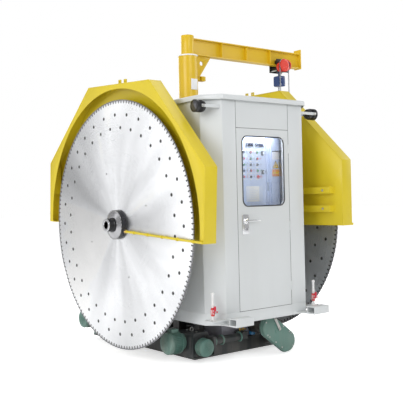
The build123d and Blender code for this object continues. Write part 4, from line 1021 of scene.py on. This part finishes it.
class SAW_OT_hub(bpy.types.Operator):
    """Flange screws, nut rings and keys, rim segments, and black fillers of painted shade in the slots, holes
    and nut bores of both blades
    """

    bl_idname = "saw.hub"
    bl_label = "Dress The Blades"

    def execute(self, context):
        nut_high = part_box("spindle_nuts")[1]
        blade_low, blade_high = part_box("right_blade")
        face = blade_high.x + 0.050
        for side, name in SIDES:
            axis = X * side
            hex_bolts(name + "_flange_bolts",
                      circle_places((side * face, SPINDLE.y, SPINDLE.z), axis, 0.1705, 24), axis, 0.011,
                      "spindle",
                      "bolt zinc")
            nose = side * nut_high.x
            ring = turned(name + "_nut_end_ring", [(-0.004, 0.048), (-0.004, 0.0762), (0.003, 0.0762),
                                                   (0.006, 0.0735),
                                                   (0.006, 0.052), (0.001, 0.048)],
                          (nose, SPINDLE.y, SPINDLE.z), axis, 56)
            finish_piece(ring, "spindle", "bright chrome")
            # painted shade: a black disc deep in the nut's bore, standing in for the shade inside it
            end = turned(name + "_bore_shade_disc", [(0.0, 0.0395), (0.002, 0.0395), (0.003, 0.012),
                                                    (0.001, 0.011)],
                         (side * (nut_high.x - 0.0850), SPINDLE.y, SPINDLE.z), axis, 44)
            finish_piece(end, "spindle", "black enamel")
            collar = turned(name + "_nut_collar", [(0.0, 0.0755), (0.0, 0.084), (0.012, 0.084),
                                                   (0.016, 0.080),
                                                   (0.016, 0.0755)],
                            (side * (nut_high.x - 0.083), SPINDLE.y, SPINDLE.z), axis, 56)
            finish_piece(collar, "spindle", "black enamel")
            grooves = [turned("groove", [(0.0, 0.0752), (0.0, 0.0775), (0.006, 0.0775), (0.006, 0.0752)],
                              (side * (nut_high.x - 0.052 + 0.014 * step), SPINDLE.y, SPINDLE.z), axis, 48)
                       for step in range(3)]
            finish_piece(joined(name + "_nut_grip_rings", grooves), "spindle", "black enamel")
            # painted shade: a black lining along the nut's bore, standing in for the shade inside it
            liner = turned(name + "_nut_bore_shade_lining", [(-0.081, 0.0398), (0.0, 0.0398), (0.001, 0.0470)],
                           (nose, SPINDLE.y, SPINDLE.z), axis, 48)
            finish_piece(liner, "spindle", "belt rubber")
            key = slab("key", (-0.006, 0.036, -0.010), (0.006, 0.046, 0.010), 0.001)
            key.data.transform(Matrix.Translation((nose - side * 0.006, SPINDLE.y, SPINDLE.z)))
            key.name = name + "_shaft_key"
            finish_piece(key, "spindle", "turned steel")
            middle = Vector((side * (blade_low.x + blade_high.x) / 2, SPINDLE.y, SPINDLE.z))
            outer_ring, inner_ring = BLADE_REACH - 0.175, BLADE_REACH - 0.333
            half = math.pi / TOOTH_COUNT * 0.62
            tooth = slab("tooth", (-0.0062, -BLADE_REACH * half, BLADE_REACH - 0.012),
                         (0.0062, BLADE_REACH * half, BLADE_REACH + 0.0006), 0.0)
            turns = [Matrix.Translation(middle)
                     @ Matrix.Rotation(2 * math.pi * index / TOOTH_COUNT - math.pi / 2, 4, "X")
                     for index in range(TOOTH_COUNT)]
            rim = copies(tooth, turns)
            rim.name = name + "_diamond_segments"
            finish_piece(rim, "spindle", "diamond segment")
            # painted shade: black fillers in the gullets between the teeth, standing in for the shade in the
            # slots
            half_turn = math.pi / TOOTH_COUNT
            floor = slab("floor", (-0.0054, -0.0082, BLADE_REACH - 0.0420),
                         (0.0054, 0.0082, BLADE_REACH - 0.0060), 0.0)
            gullet_shades = copies(floor, [place @ Matrix.Rotation(half_turn, 4, "X") for place in turns])
            gullet_shades.name = name + "_gullet_shade_fill"
            finish_piece(gullet_shades, "spindle", "belt rubber")
            # painted shade: black fillers in the blade's holes, standing in for the shade seen through them
            plug = turned("plug", [(-0.0053, 0.0205), (0.0053, 0.0205)], (0, 0, 0), X, 14)
            spots = []
            for ring_radius, start in ((outer_ring, 0.0), (inner_ring, math.pi / HOLE_COUNT)):
                spots += circle_places(middle, X, ring_radius, HOLE_COUNT, start)
            plugs = copies(plug, [Matrix.Translation(spot) for spot in spots])
            plugs.name = name + "_hole_shade_fill"
            finish_piece(plugs, "spindle", "belt rubber")
        return {"FINISHED"}


# ---- Motors ---------------------------------------------------------------------------------------
def ribbed_motor(name, at, axis, radius, back, front, body, fins, depth):
    """Cooling fins along a motor, a domed fan cover with a spoked grille, and a bolted drive flange.
    Distances back and front are along the axis, from the fan end to the drive end."""
    axis = Vector(axis)
    turn = Matrix.Translation(Vector(at)) @ Z.rotation_difference(axis).to_matrix().to_4x4()
    length = front - back
    fin = slab("fin", (radius - 0.002, -0.0016, back + length * 0.26),
               (radius + depth, 0.0016, front - length * 0.10),
               0.0008, 1)
    turns = [turn @ Matrix.Rotation(2 * math.pi * index / fins, 4, "Z") for index in range(fins)]
    finish_piece(copies(fin, turns), body, "green enamel").name = name + "_fins"
    cowl = turned(name + "_fan_cover",
                  [(back - 0.004, radius * 0.55), (back - 0.006, radius * 0.80),
                   (back - 0.001, radius * 0.95),
                   (back + 0.012, radius + depth * 0.65), (back + length * 0.22, radius + depth * 0.65),
                   (back + length * 0.22, radius - 0.004)], (0, 0, 0), Z, 56)
    cowl.data.transform(turn)
    finish_piece(cowl, body, "green enamel")
    rings = [hoop("ring", (0, 0, back - 0.005), Z, radius * share, 0.0022, 56, 6)
             for share in (0.28, 0.42, 0.56, 0.70)]
    for angle in range(3):
        spoke = slab("spoke", (-radius * 0.74, -0.0022, back - 0.007),
                     (radius * 0.74, 0.0022, back - 0.003), 0.0006, 1)
        spoke.data.transform(Matrix.Rotation(math.pi * angle / 3, 4, "Z"))
        rings.append(spoke)
    grille = joined(name + "_fan_grille", rings)
    grille.data.transform(turn)
    finish_piece(grille, body, "green enamel")
    flange = turned(name + "_drive_flange",
                    [(front - length * 0.10, radius - 0.003), (front - length * 0.10, radius + depth),
                                             (front - length * 0.03, radius + depth),
                                             (front - length * 0.03, radius * 0.86)],
                    (0, 0, 0), Z, 56, 0.0012)
    flange.data.transform(turn)
    finish_piece(flange, body, "green enamel")
    spots = [turn @ Vector((math.cos(a) * radius * 0.93, math.sin(a) * radius * 0.93, front - length * 0.03))
             for a in (math.pi / 4 + math.pi / 2 * k for k in range(4))]
    hex_bolts(name + "_flange_bolts", spots, axis, 0.020, body)


class SAW_OT_motors(bpy.types.Operator):
    """Fins, fan covers and terminal boxes on the drive motors"""

    bl_idname = "saw.motors"
    bl_label = "Dress The Motors"

    def execute(self, context):
        depth = context.scene.saw_sizes.fin_depth
        for node, name in (("rapid_travel_motor", "rapid_motor"), ("rear_gearmotor", "rear_motor")):
            low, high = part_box(node)
            if node == "rear_gearmotor":
                high = Vector((-0.770, high.y, high.z))
                radius, at_z = 0.110, 0.300
            else:
                high = Vector((-0.780, high.y, high.z))
                radius, at_z = (high.z - low.z) / 2, (low.z + high.z) / 2
            at = ((low.x, (low.y + high.y) / 2, at_z))
            ribbed_motor(name, at, X, radius, 0.0, high.x - low.x, "root", 40, depth)
            box = slab(name + "_terminal_box", (low.x + 0.05, at[1] - 0.045, at_z + radius - 0.004),
                       (low.x + 0.15, at[1] + 0.045, at_z + radius + 0.042), 0.004, 3)
            finish_piece(box, "root", "green enamel")
        low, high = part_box("feed_motor")
        middle = (low + high) / 2
        radius = (high.z - low.z) / 2
        ribbed_motor("feed_motor", (middle.x, low.y, middle.z), Y, radius, 0.0, 0.100, "root", 36,
                     depth * 0.8)
        low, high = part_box("main_motor")
        middle = Vector(((low.x + high.x) / 2, 0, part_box("motor_pulley")[0].z + 0.110))
        ribbed_motor("main_motor", (low.x, 0, middle.z), X, 0.195, 0.0, high.x - low.x, "carriage", 52,
                     depth * 1.5)
        lid = slab("main_motor_terminal_lid", (-0.155, -0.095, high.z), (0.055, 0.095, high.z + 0.012),
                   0.004, 3)
        finish_piece(lid, "carriage", "green enamel")
        return {"FINISHED"}


# ---- Chain case and fittings under the cabin --------------------------------------------------------
class SAW_OT_underside(bpy.types.Operator):
    """Chain case flange and stay, clutch rings, gearbox covers, taps, filter, breather and wheel caps"""

    bl_idname = "saw.underside"
    bl_label = "Fit The Underside"

    def execute(self, context):
        low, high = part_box("chain_case")
        radius = 0.130
        screw_ring = radius - 0.022
        upper = Vector((low.x + radius, 0, high.z - radius))
        lower = Vector((high.x - radius, 0, low.z + radius))
        run = lower - upper
        tilt = math.atan2(run.z, run.x)
        bpy.ops.object.select_all(action="DESELECT")
        softened("chain_case", "chain_case_shell", "green enamel", 0.010)
        place = Matrix.Translation(upper) @ Matrix.Rotation(-tilt, 4, "Y")
        lip_parts = [turned("end", [(0, radius - 0.03), (0, radius + 0.010), (0.010, radius + 0.010),
                                    (0.010, radius - 0.03)],
                            (centre.x, high.y - 0.032, centre.z), -Y, 64, 0.002) for centre in (upper, lower)]
        for sign in (-1, 1):
            edge = slab("edge", (0, high.y - 0.042, sign * (radius + 0.0095) - 0.010 * (sign > 0)),
                        (run.length, high.y - 0.032, sign * (radius + 0.0095) + 0.010 * (sign < 0)), 0.002)
            edge.data.transform(place)
            lip_parts.append(edge)
        finish_piece(joined("chain_case_flange", lip_parts), "root", "green enamel")
        spots = []
        for sign in (-1, 1):
            for share in (0.12, 0.5, 0.88):
                spot = place @ Vector((run.length * share, low.y, sign * screw_ring))
                spots.append((spot.x, low.y - 0.0005, spot.z))
        for centre, start in ((upper, math.pi / 2 + tilt), (lower, -math.pi / 2 + tilt)):
            for step in (0.5, 1.0):
                angle = start + math.pi * step
                spots.append((centre.x + math.cos(angle) * screw_ring, low.y - 0.0005,
                              centre.z + math.sin(angle) * screw_ring))
        hex_bolts("chain_case_screws", spots, -Y, 0.014, "root")
        stay_top = Vector((0.215, low.y - 0.002, 0.455))
        stay_low = Vector((0.300, low.y - 0.002, 0.300))
        stay = slab("chain_case_stay", (-0.018, -0.012, 0), (0.018, 0, (stay_top - stay_low).length), 0.003)
        lean = math.atan2(stay_top.x - stay_low.x, stay_top.z - stay_low.z)
        stay.data.transform(Matrix.Translation(stay_low) @ Matrix.Rotation(lean, 4, "Y"))
        finish_piece(stay, "root", "bolt zinc")
        hex_bolts("stay_bolts", [stay_low.lerp(stay_top, share) - Y * 0.012 for share in (0.12, 0.88)], -Y,
                  0.018, "root")
        collars = [turned("collar", [(0, 0.085), (0, 0.1245), (0.012, 0.1245), (0.012, 0.085)],
                          (0.330, high.y + offset, 0.300), Y, 56, 0.002) for offset in (0.018, 0.060, 0.102)]
        finish_piece(joined("clutch_rings", collars), "root", "turned steel")
        tap_x, tap_y = -0.020, -0.950
        taps = [turned("body", [(0, 0.010), (0.012, 0.010), (0.012, 0.014), (0.034, 0.014), (0.036, 0.008),
                                (0.052, 0.008)],
                       (tap_x + dx, tap_y, 0.290), Z, 6, 0.001) for dx in (-0.024, 0.024)]
        taps += [turned("spout", [(0, 0.007), (0.040, 0.007), (0.042, 0.010), (0.054, 0.010)],
                        (tap_x + dx, tap_y, 0.313), -Y, 20) for dx in (-0.024, 0.024)]
        finish_piece(joined("brass_taps", taps), "root", "fitting brass")
        handles = [slab("handle", (tap_x + dx - 0.028, tap_y - 0.006, 0.342),
                        (tap_x + dx + 0.012, tap_y + 0.006, 0.347),
                        0.002) for dx in (-0.024, 0.024)]
        finish_piece(joined("tap_handles", handles), "root", "label yellow")
        tube_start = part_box("cross_tube")[0].x
        tube_y, tube_z = -0.970, 0.232
        rings = [turned("ring", [(0, 0.0445), (0, 0.060), (0.014, 0.060), (0.014, 0.0445)],
                        (x, tube_y, tube_z), X, 40,
                        0.002) for x in (tube_start + 0.002, tube_start + 0.12, -0.085)]
        finish_piece(joined("cross_tube_collars", rings), "root", "green enamel")
        box_low, box_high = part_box("travel_gearbox")
        cover = [slab("lid", (box_low.x + 0.03, -0.906, 0.095), (-0.540, -0.899, 0.285), 0.003)]
        cover.append(slab("plate", (box_low.x - 0.006, -0.860, 0.095), (box_low.x + 0.001, -0.625, 0.300),
                          0.003))
        finish_piece(joined("gearbox_cover_plates", cover), "root", "chassis enamel")
        plug = [turned("plug", [(0, 0.014), (0.010, 0.014), (0.012, 0.009)], (x, y, box_high.z - 0.001), Z, 6)
                for x, y in ((-0.62, -0.84), (-0.62, -0.66))]
        eye = hoop("eye", (-0.62, -0.75, box_high.z + 0.022), Y, 0.022, 0.006, 32, 10)
        finish_piece(joined("gearbox_plugs_and_eye", plug + [eye]), "root", "bolt zinc")
        filter_x, filter_y = 0.198, -0.902
        cap = turned("filter_cap", [(0, 0.034), (0.012, 0.034), (0.018, 0.026), (0.024, 0.026),
                                    (0.026, 0.020)],
                     (filter_x, filter_y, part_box("return_filter")[1].z - 0.012), Z, 36)
        finish_piece(cap, "root", "black enamel")
        bands = [turned("band", [(0, 0.0375), (0, 0.0405), (0.007, 0.0405), (0.007, 0.0375)],
                        (filter_x, filter_y, 0.215 + step), Z, 40) for step in (0.012, 0.080)]
        finish_piece(joined("filter_bands", bands), "root", "filter enamel")
        tank_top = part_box("hydraulic_tank")[1].z
        breather = turned("tank_breather", [(0, 0.022), (0.010, 0.022), (0.012, 0.030), (0.036, 0.030),
                                            (0.040, 0.024)],
                          (0.12, -0.42, tank_top - 0.001), Z, 36)
        finish_piece(breather, "root", "black enamel")
        for node, body in (("front_wheelset", "front_wheels"), ("rear_wheelset", "rear_wheels")):
            hub = middle_of(node)
            pieces, bolts = [], []
            for side in (-1, 1):
                pieces.append(turned("cap", [(0, 0.060), (0.006, 0.060), (0.012, 0.052), (0.012, 0.032),
                                             (0.026, 0.032),
                                             (0.028, 0.026)], (side * 0.6045, hub.y, hub.z), X * side, 44))
                bolts += circle_places((side * 0.605, hub.y, hub.z), X * side, 0.078, 6)
            finish_piece(joined(node + "_hub_caps", pieces), body, "black enamel")
            hex_bolts(node + "_bolts", [p for p in bolts if p.x < 0], -X, 0.018, body)
            hex_bolts(node + "_far_bolts", [p for p in bolts if p.x > 0], X, 0.018, body)
        return {"FINISHED"}


# ---- Lamps, water pipes and valves ------------------------------------------------------------------
class SAW_OT_lamps(bpy.types.Operator):
    """Lens, bezel, cooling fins and clamp screws of the work lamps"""

    bl_idname = "saw.lamps"
    bl_label = "Dress The Lamps"

    def execute(self, context):
        for side, name in SIDES:
            low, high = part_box(name + "_lamp")
            body = name + "_lamp_head"
            at = Vector(((low.x + high.x) / 2, -1.310, (low.z + high.z) / 2))
            front = low.x if side < 0 else high.x
            radius = (high.z - low.z) / 2
            bezel = turned(name + "_lamp_bezel", [(-0.018, radius - 0.001), (-0.018, radius + 0.005),
                                                  (0.002, radius + 0.005), (0.004, radius),
                                                  (0.004, radius - 0.010),
                                                  (-0.002, radius - 0.012)],
                           (front, at.y, at.z), X * side, 56)
            finish_piece(bezel, body, "black enamel")
            lens = turned(name + "_lamp_lens", [(0.0, radius - 0.011), (0.002, radius - 0.013),
                                                (0.005, radius * 0.5),
                                                (0.006, radius * 0.2)], (front, at.y, at.z), X * side, 48)
            finish_piece(lens, body, "lamp lens")
            fins = [turned("fin", [(0, radius - 0.002), (0, radius + 0.004), (0.003, radius + 0.004),
                                   (0.003, radius - 0.002)],
                           (front - side * (0.045 + 0.012 * step), at.y, at.z), -X * side, 48)
                           for step in range(4)]
            finish_piece(joined(name + "_lamp_fins", fins), body, "black enamel")
            arm_end = side * 0.8935
            arms = [slab("arm", (min(side * root, arm_end), at.y + end * 0.0703 - 0.0075 * (end < 0),
                                 at.z - 0.0165),
                         (max(side * root, arm_end), at.y + end * 0.0703 + 0.0075 * (end > 0),
                          at.z + 0.0165), 0.002)
                    for end, root in ((-1, 0.646), (1, 0.768))]
            finish_piece(joined(name + "_lamp_arms", arms), "root", "cabin enamel")
            knobs = [turned("knob", [(0, 0.011), (0.004, 0.016), (0.012, 0.016), (0.014, 0.012)],
                            (at.x, at.y + end * 0.0762, at.z), Y * end, 12) for end in (-1, 1)]
            finish_piece(joined(name + "_lamp_clamp_knobs", knobs), body, "bolt zinc")
        return {"FINISHED"}


class SAW_OT_water(bpy.types.Operator):
    """Valve bodies, flanges, unions and levers on the corner water pipes"""

    bl_idname = "saw.water"
    bl_label = "Fit The Water Pipes"

    def execute(self, context):
        for side, name in SIDES:
            low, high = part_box(name + "_valve_lever")
            x, y, valve_z = side * 0.800, -1.370, 0.650
            body = turned(name + "_valve_body", [(-0.046, 0.0165), (-0.046, 0.021), (-0.032, 0.021),
                                                 (-0.026, 0.0255),
                                                 (0.026, 0.0255), (0.032, 0.021), (0.046, 0.021),
                                                 (0.046, 0.0165)],
                          (x, y, valve_z), Z, 8, 0.001)
            finish_piece(body, "root", "label red")
            unions = [turned("union", [(-0.010, 0.0135), (-0.010, 0.020), (0.010, 0.020), (0.010, 0.0135)],
                             (x, y, z),
                             Z, 6, 0.001) for z in (0.730, 0.845)]
            foot = turned("foot", [(0, 0.034), (0.008, 0.034), (0.008, 0.020), (0.022, 0.017),
                                   (0.022, 0.0135)],
                          (x, y, 0.556), Z, 40, 0.001)
            finish_piece(joined(name + "_pipe_unions", unions + [foot]), "root", "white pipe")
            grip = slab(name + "_valve_grip", (low.x - 0.002, low.y - 0.002, low.z + 0.030),
                        (high.x + 0.002, low.y + 0.012, high.z + 0.004), 0.003, 3)
            finish_piece(grip, name + "_valve", "valve vinyl")
            wings = slab(name + "_valve_wings", (x - 0.034, low.y - 0.002, 0.642),
                         (x + 0.034, low.y + 0.009, 0.658),
                         0.003, 3)
            finish_piece(wings, name + "_valve", "valve vinyl")
            nut = turned(name + "_valve_nut", [(0, 0.010), (0.006, 0.010), (0.008, 0.007)],
                         (x, low.y - 0.001, valve_z),
                         -Y, 6)
            finish_piece(nut, name + "_valve", "bolt zinc")
            hex_bolts(name + "_corner_plate_bolts",
                      [(side * 0.838, y + dy, 0.556) for dy in (-0.030, 0.055)], Z, 0.018,
                      "root")
        return {"FINISHED"}


# ---- Crane ----------------------------------------------------------------------------------------
def chain_run(name, top, bottom, wire, body, finish):
    """A straight length of link chain, each link turned a quarter from the last."""
    top, bottom = Vector(top), Vector(bottom)
    pitch = wire * 6.0
    count = max(2, int((top - bottom).length / pitch))
    step = (bottom - top) / count
    link = hoop("link", (0, 0, 0), Y, wire * 2.35, wire, 12, 6)
    stretch = Matrix.Diagonal((0.9, 1.0, (step.length / 2 + wire * 1.6) / (wire * 3.35), 1))
    turn = Z.rotation_difference((-step).normalized()).to_matrix().to_4x4()
    places = [Matrix.Translation(top + step * (index + 0.5)) @ turn
              @ Matrix.Rotation(math.pi / 2 * (index % 2), 4, "Z") @ stretch for index in range(count)]
    link.name = name
    return finish_piece(copies(link, places), body, finish)


class SAW_OT_crane(bpy.types.Operator):
    """Weld seams, bolts, thrust ring, gears, link chains and hook fittings of the jib crane"""

    bl_idname = "saw.crane"
    bl_label = "Rig The Crane"

    def execute(self, context):
        sizes = context.scene.saw_sizes
        arm_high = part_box("jib_arm")[1]
        roof_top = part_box("roof_cap")[1].z
        beam_low, top = 3.770, 3.985
        ring = turned("mast_thrust_ring", [(-0.014, 0.1245), (-0.014, 0.132), (0.0, 0.132), (0.004, 0.128),
                                           (0.004, 0.0852)],
                      (0, 0, 3.7565), Z, 64, 0.0015)
        finish_piece(ring, "root", "label white")
        foot = turned("mast_foot_ring", [(0.0, 0.1245), (0.0, 0.185), (0.014, 0.185), (0.014, 0.1245)],
                      (0, 0, roof_top + 0.0003), Z, 64, 0.002)
        finish_piece(foot, "root", "jib enamel")
        hex_bolts("mast_foot_bolts", circle_places((0, 0, roof_top + 0.0143), Z, 0.158, 12), Z, 0.026,
                  "root")
        plate = slab("mast_blank_plate", (-0.050, -0.1285, 3.30), (0.050, -0.1225, 3.44), 0.001)
        finish_piece(plate, "root", "label white")
        cap = turned("sleeve_cap", [(0.0, 0.0845), (0.006, 0.082), (0.012, 0.060), (0.014, 0.020)],
                     (0, 0, arm_high.z - 0.036 + 0.001), Z, 48)
        finish_piece(cap, "jib", "jib enamel")
        seams = []
        for sign in (-1, 1):
            for z in (beam_low + 0.0125, top - 0.0125):
                seams.append(bead("seam", (0.090, sign * 0.0045, z), (arm_high.x - 0.016, sign * 0.0045, z),
                                  sizes.weld_bead, "jib", "jib enamel"))
            seams.append(bead("seam", (0.134, sign * 0.008, beam_low - 0.001),
                              (0.368, sign * 0.008, beam_low - 0.001),
                              sizes.weld_bead, "jib", "jib enamel"))
        finish_piece(joined("jib_weld_seams", seams), "jib", "jib enamel")
        stiff = []
        for x in (0.55, 1.00, 1.45):
            for sign in (-1, 1):
                stiff.append(slab("rib", (x - 0.004, min(sign * 0.004, sign * 0.050), beam_low + 0.012),
                                  (x + 0.004, max(sign * 0.004, sign * 0.050), top - 0.012), 0.001))
        hex_bolts("jib_end_bolts",
                  [(arm_high.x, y, z) for y in (-0.045, 0.045) for z in (beam_low + 0.03, top + 0.02)], X,
                  sizes.bolt_head * 0.8, "jib")
        finish_piece(joined("jib_web_ribs", stiff), "jib", "jib enamel")
        # hoist trolley: toothed wheels outside the cheeks, tie rods and a bright hand-chain wheel
        trolley_x = 1.665
        gears = []
        teeth = 22
        for x, z, radius in ((trolley_x - 0.065, 3.741, 0.062), (trolley_x + 0.060, 3.781, 0.072)):
            tooth = slab("tooth", (-0.0035, -0.118, radius - 0.003), (0.0035, -0.080, radius + 0.007),
                         0.0015, 1)
            turns = [Matrix.Translation((x, 0, z)) @ Matrix.Rotation(2 * math.pi * k / teeth, 4, "Y")
                     for k in range(teeth)]
            gears.append(copies(tooth, turns))
            gears.append(turned("boss", [(0, radius * 0.34), (0.008, radius * 0.34), (0.012, radius * 0.24)],
                                (x, -0.1165, z), -Y, 32))
            gears.append(hoop("rim", (x, -0.117, z), Y, radius * 0.78, 0.0045, 44, 8))
            gears.append(turned("face", [(0.0, radius), (-0.003, radius + 0.0035), (0.034, radius + 0.0035),
                                         (0.038, radius - 0.002), (0.038, radius * 0.86),
                                         (0.035, radius * 0.84)],
                                (x, -0.0805, z), -Y, 56, 0.0012))
        finish_piece(joined("trolley_gears", gears), "hoist", "trolley enamel")
        rods = [turned("rod", [(-0.084, 0.008), (-0.083, 0.0095), (0.083, 0.0095), (0.084, 0.008)],
                       (trolley_x + dx, 0, beam_low - 0.070), Y, 20) for dx in (-0.095, 0.095)]
        finish_piece(joined("trolley_tie_rods", rods), "hoist", "bolt zinc")
        hex_bolts("trolley_nuts", [(trolley_x + dx, 0.0772, z) for dx, z in
                                   ((-0.072, 3.8205), (0.072, 3.8205), (-0.095, 3.700), (0.095, 3.700),
                                    (0, 3.710))], Y,
                  0.024, "hoist")
        wheel = Vector((1.620, -0.150, 3.761))
        flanges = [turned("flange", [(0, 0.060), (0, 0.090), (0.003, 0.090), (0.006, 0.078), (0.006, 0.060)],
                          (wheel.x, wheel.y + end * 0.0085, wheel.z), Y * end, 48) for end in (-1, 1)]
        finish_piece(joined("hand_chain_wheel_flanges", flanges), "hoist", "trolley enamel")
        # hand chain: two strands, over the wheel and round the hanging bottom
        low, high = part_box("hand_chain")
        ring_radius = 0.085
        hand_wire = 0.0036
        wrap_links = 12
        bottom_z = low.z + 0.005 + ring_radius
        strands = [chain_run("strand", (wheel.x + s * ring_radius, wheel.y, wheel.z),
                             (wheel.x + s * ring_radius, wheel.y,
                             bottom_z), hand_wire, "hoist", "chain zinc") for s in (-1, 1)]
        for centre_z, first in ((wheel.z, 0.0), (bottom_z, math.pi)):
            link = hoop("link", (0, 0, 0), Y, hand_wire * 2.35, hand_wire, 12, 6)
            stretch = Matrix.Diagonal((0.9, 1.0, 1.35, 1))
            places = []
            for index in range(wrap_links):
                angle = first + math.pi * (index + 0.5) / wrap_links
                places.append(Matrix.Translation((wheel.x + math.cos(angle) * ring_radius, wheel.y,
                                                  centre_z + math.sin(angle) * ring_radius))
                              @ Matrix.Rotation(-angle, 4, "Y")
                              @ Matrix.Rotation(math.pi / 2 * (index % 2), 4, "Z") @ stretch)
            strands.append(copies(link, places))
        chain = joined("hand_chain_links", strands)
        finish_piece(chain, "hoist", "chain zinc")
        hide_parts("hand_chain")
        low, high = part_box("load_chain")
        load = chain_run("load_chain_links", ((low.x + high.x) / 2, 0, high.z + 0.004),
                         ((low.x + high.x) / 2, 0,
                         low.z - 0.004), sizes.link_wire, "hoist", "chain zinc")
        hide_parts("load_chain")
        # hoist body: side covers, screws, brake boss and suspension eye
        low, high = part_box("hoist_body")
        body_top = high.z - 0.062
        cover = slab("hoist_side_cover", (low.x + 0.010, low.y - 0.014, low.z + 0.012),
                     (high.x - 0.010, low.y, body_top - 0.012),
                     0.008, 3)
        far = slab("cover", (low.x + 0.016, high.y, low.z + 0.018),
                   (high.x - 0.016, high.y + 0.010, body_top - 0.018), 0.006, 3)
        finish_piece(joined("hoist_side_covers", [cover, far]), "hoist", "hoist enamel")
        spots = [(x, low.y - 0.0145, z) for x in (low.x + 0.024, high.x - 0.024)
                 for z in (low.z + 0.026, body_top - 0.026)]
        hex_bolts("hoist_cover_screws", spots, -Y, 0.012, "hoist")
        boss = turned("hoist_brake_boss", [(0, 0.036), (0.012, 0.036), (0.018, 0.028), (0.020, 0.012)],
                      ((low.x + high.x) / 2, low.y - 0.013, (low.z + body_top) / 2), -Y, 40)
        finish_piece(boss, "hoist", "hoist enamel")
        eye = hoop("hoist_top_eye", ((low.x + high.x) / 2, 0, body_top + 0.020), X, 0.020, 0.006, 32, 10)
        finish_piece(eye, "hoist", "chain zinc")
        # hook block: swivel and safety latch
        low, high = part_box("hook_block")
        hook_x = 1.651
        block = turned("hook_swivel", [(0, 0.016), (0.004, 0.0245), (0.052, 0.0245), (0.058, 0.018),
                                       (0.062, 0.012)],
                       (hook_x, 0, high.z - 0.061), Z, 36)
        finish_piece(block, "hook", "hoist enamel")
        latch = slab("hook_latch", (-0.0035, -0.006, -0.062), (0.0, 0.006, 0.0), 0.001)
        latch_turn = Matrix.Rotation(math.radians(-38), 4, "Y")
        latch.data.transform(Matrix.Translation((hook_x + 0.020, 0, 3.110)) @ latch_turn)
        finish_piece(latch, "hook", "bolt zinc")
        return {"FINISHED"}


OPERATORS = (SAW_OT_finishes, SAW_OT_plates, SAW_OT_guard_fittings, SAW_OT_door, SAW_OT_cabinet, SAW_OT_hub,
             SAW_OT_motors, SAW_OT_underside, SAW_OT_lamps, SAW_OT_water, SAW_OT_crane, SAW_OT_stage)




# ---- Panel and registration ---------------------------------------------------------------------
class SAW_PT_finisher(bpy.types.Panel):
    """Sidebar list of everything the finisher makes"""

    bl_idname = "SAW_PT_finisher"
    bl_label = "Quarry Saw"
    bl_space_type = "VIEW_3D"
    bl_region_type = "UI"
    bl_category = "Quarry Saw"

    def draw(self, context):
        layout = self.layout
        for group in (context.scene.saw_sizes, context.scene.saw_colours):
            box = layout.box()
            for key in group.__annotations__:
                box.prop(group, key)
        for operator in OPERATORS:
            layout.operator(operator.bl_idname)


CLASSES = (SawSizes, SawColours, *OPERATORS, SAW_PT_finisher)


def register():
    """Makes the classes and their settings known to Blender."""
    for made in CLASSES:
        bpy.utils.register_class(made)
    bpy.types.Scene.saw_sizes = bpy.props.PointerProperty(type=SawSizes)
    bpy.types.Scene.saw_colours = bpy.props.PointerProperty(type=SawColours)


def unregister():
    """Takes the classes and their settings away again."""
    del bpy.types.Scene.saw_colours
    del bpy.types.Scene.saw_sizes
    for made in reversed(CLASSES):
        bpy.utils.unregister_class(made)


def main():
    """Registers everything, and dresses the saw."""
    register()
    for operator in OPERATORS:
        group, name = operator.bl_idname.split(".")
        getattr(getattr(bpy.ops, group), name)()


if __name__ == "__main__":
    main()
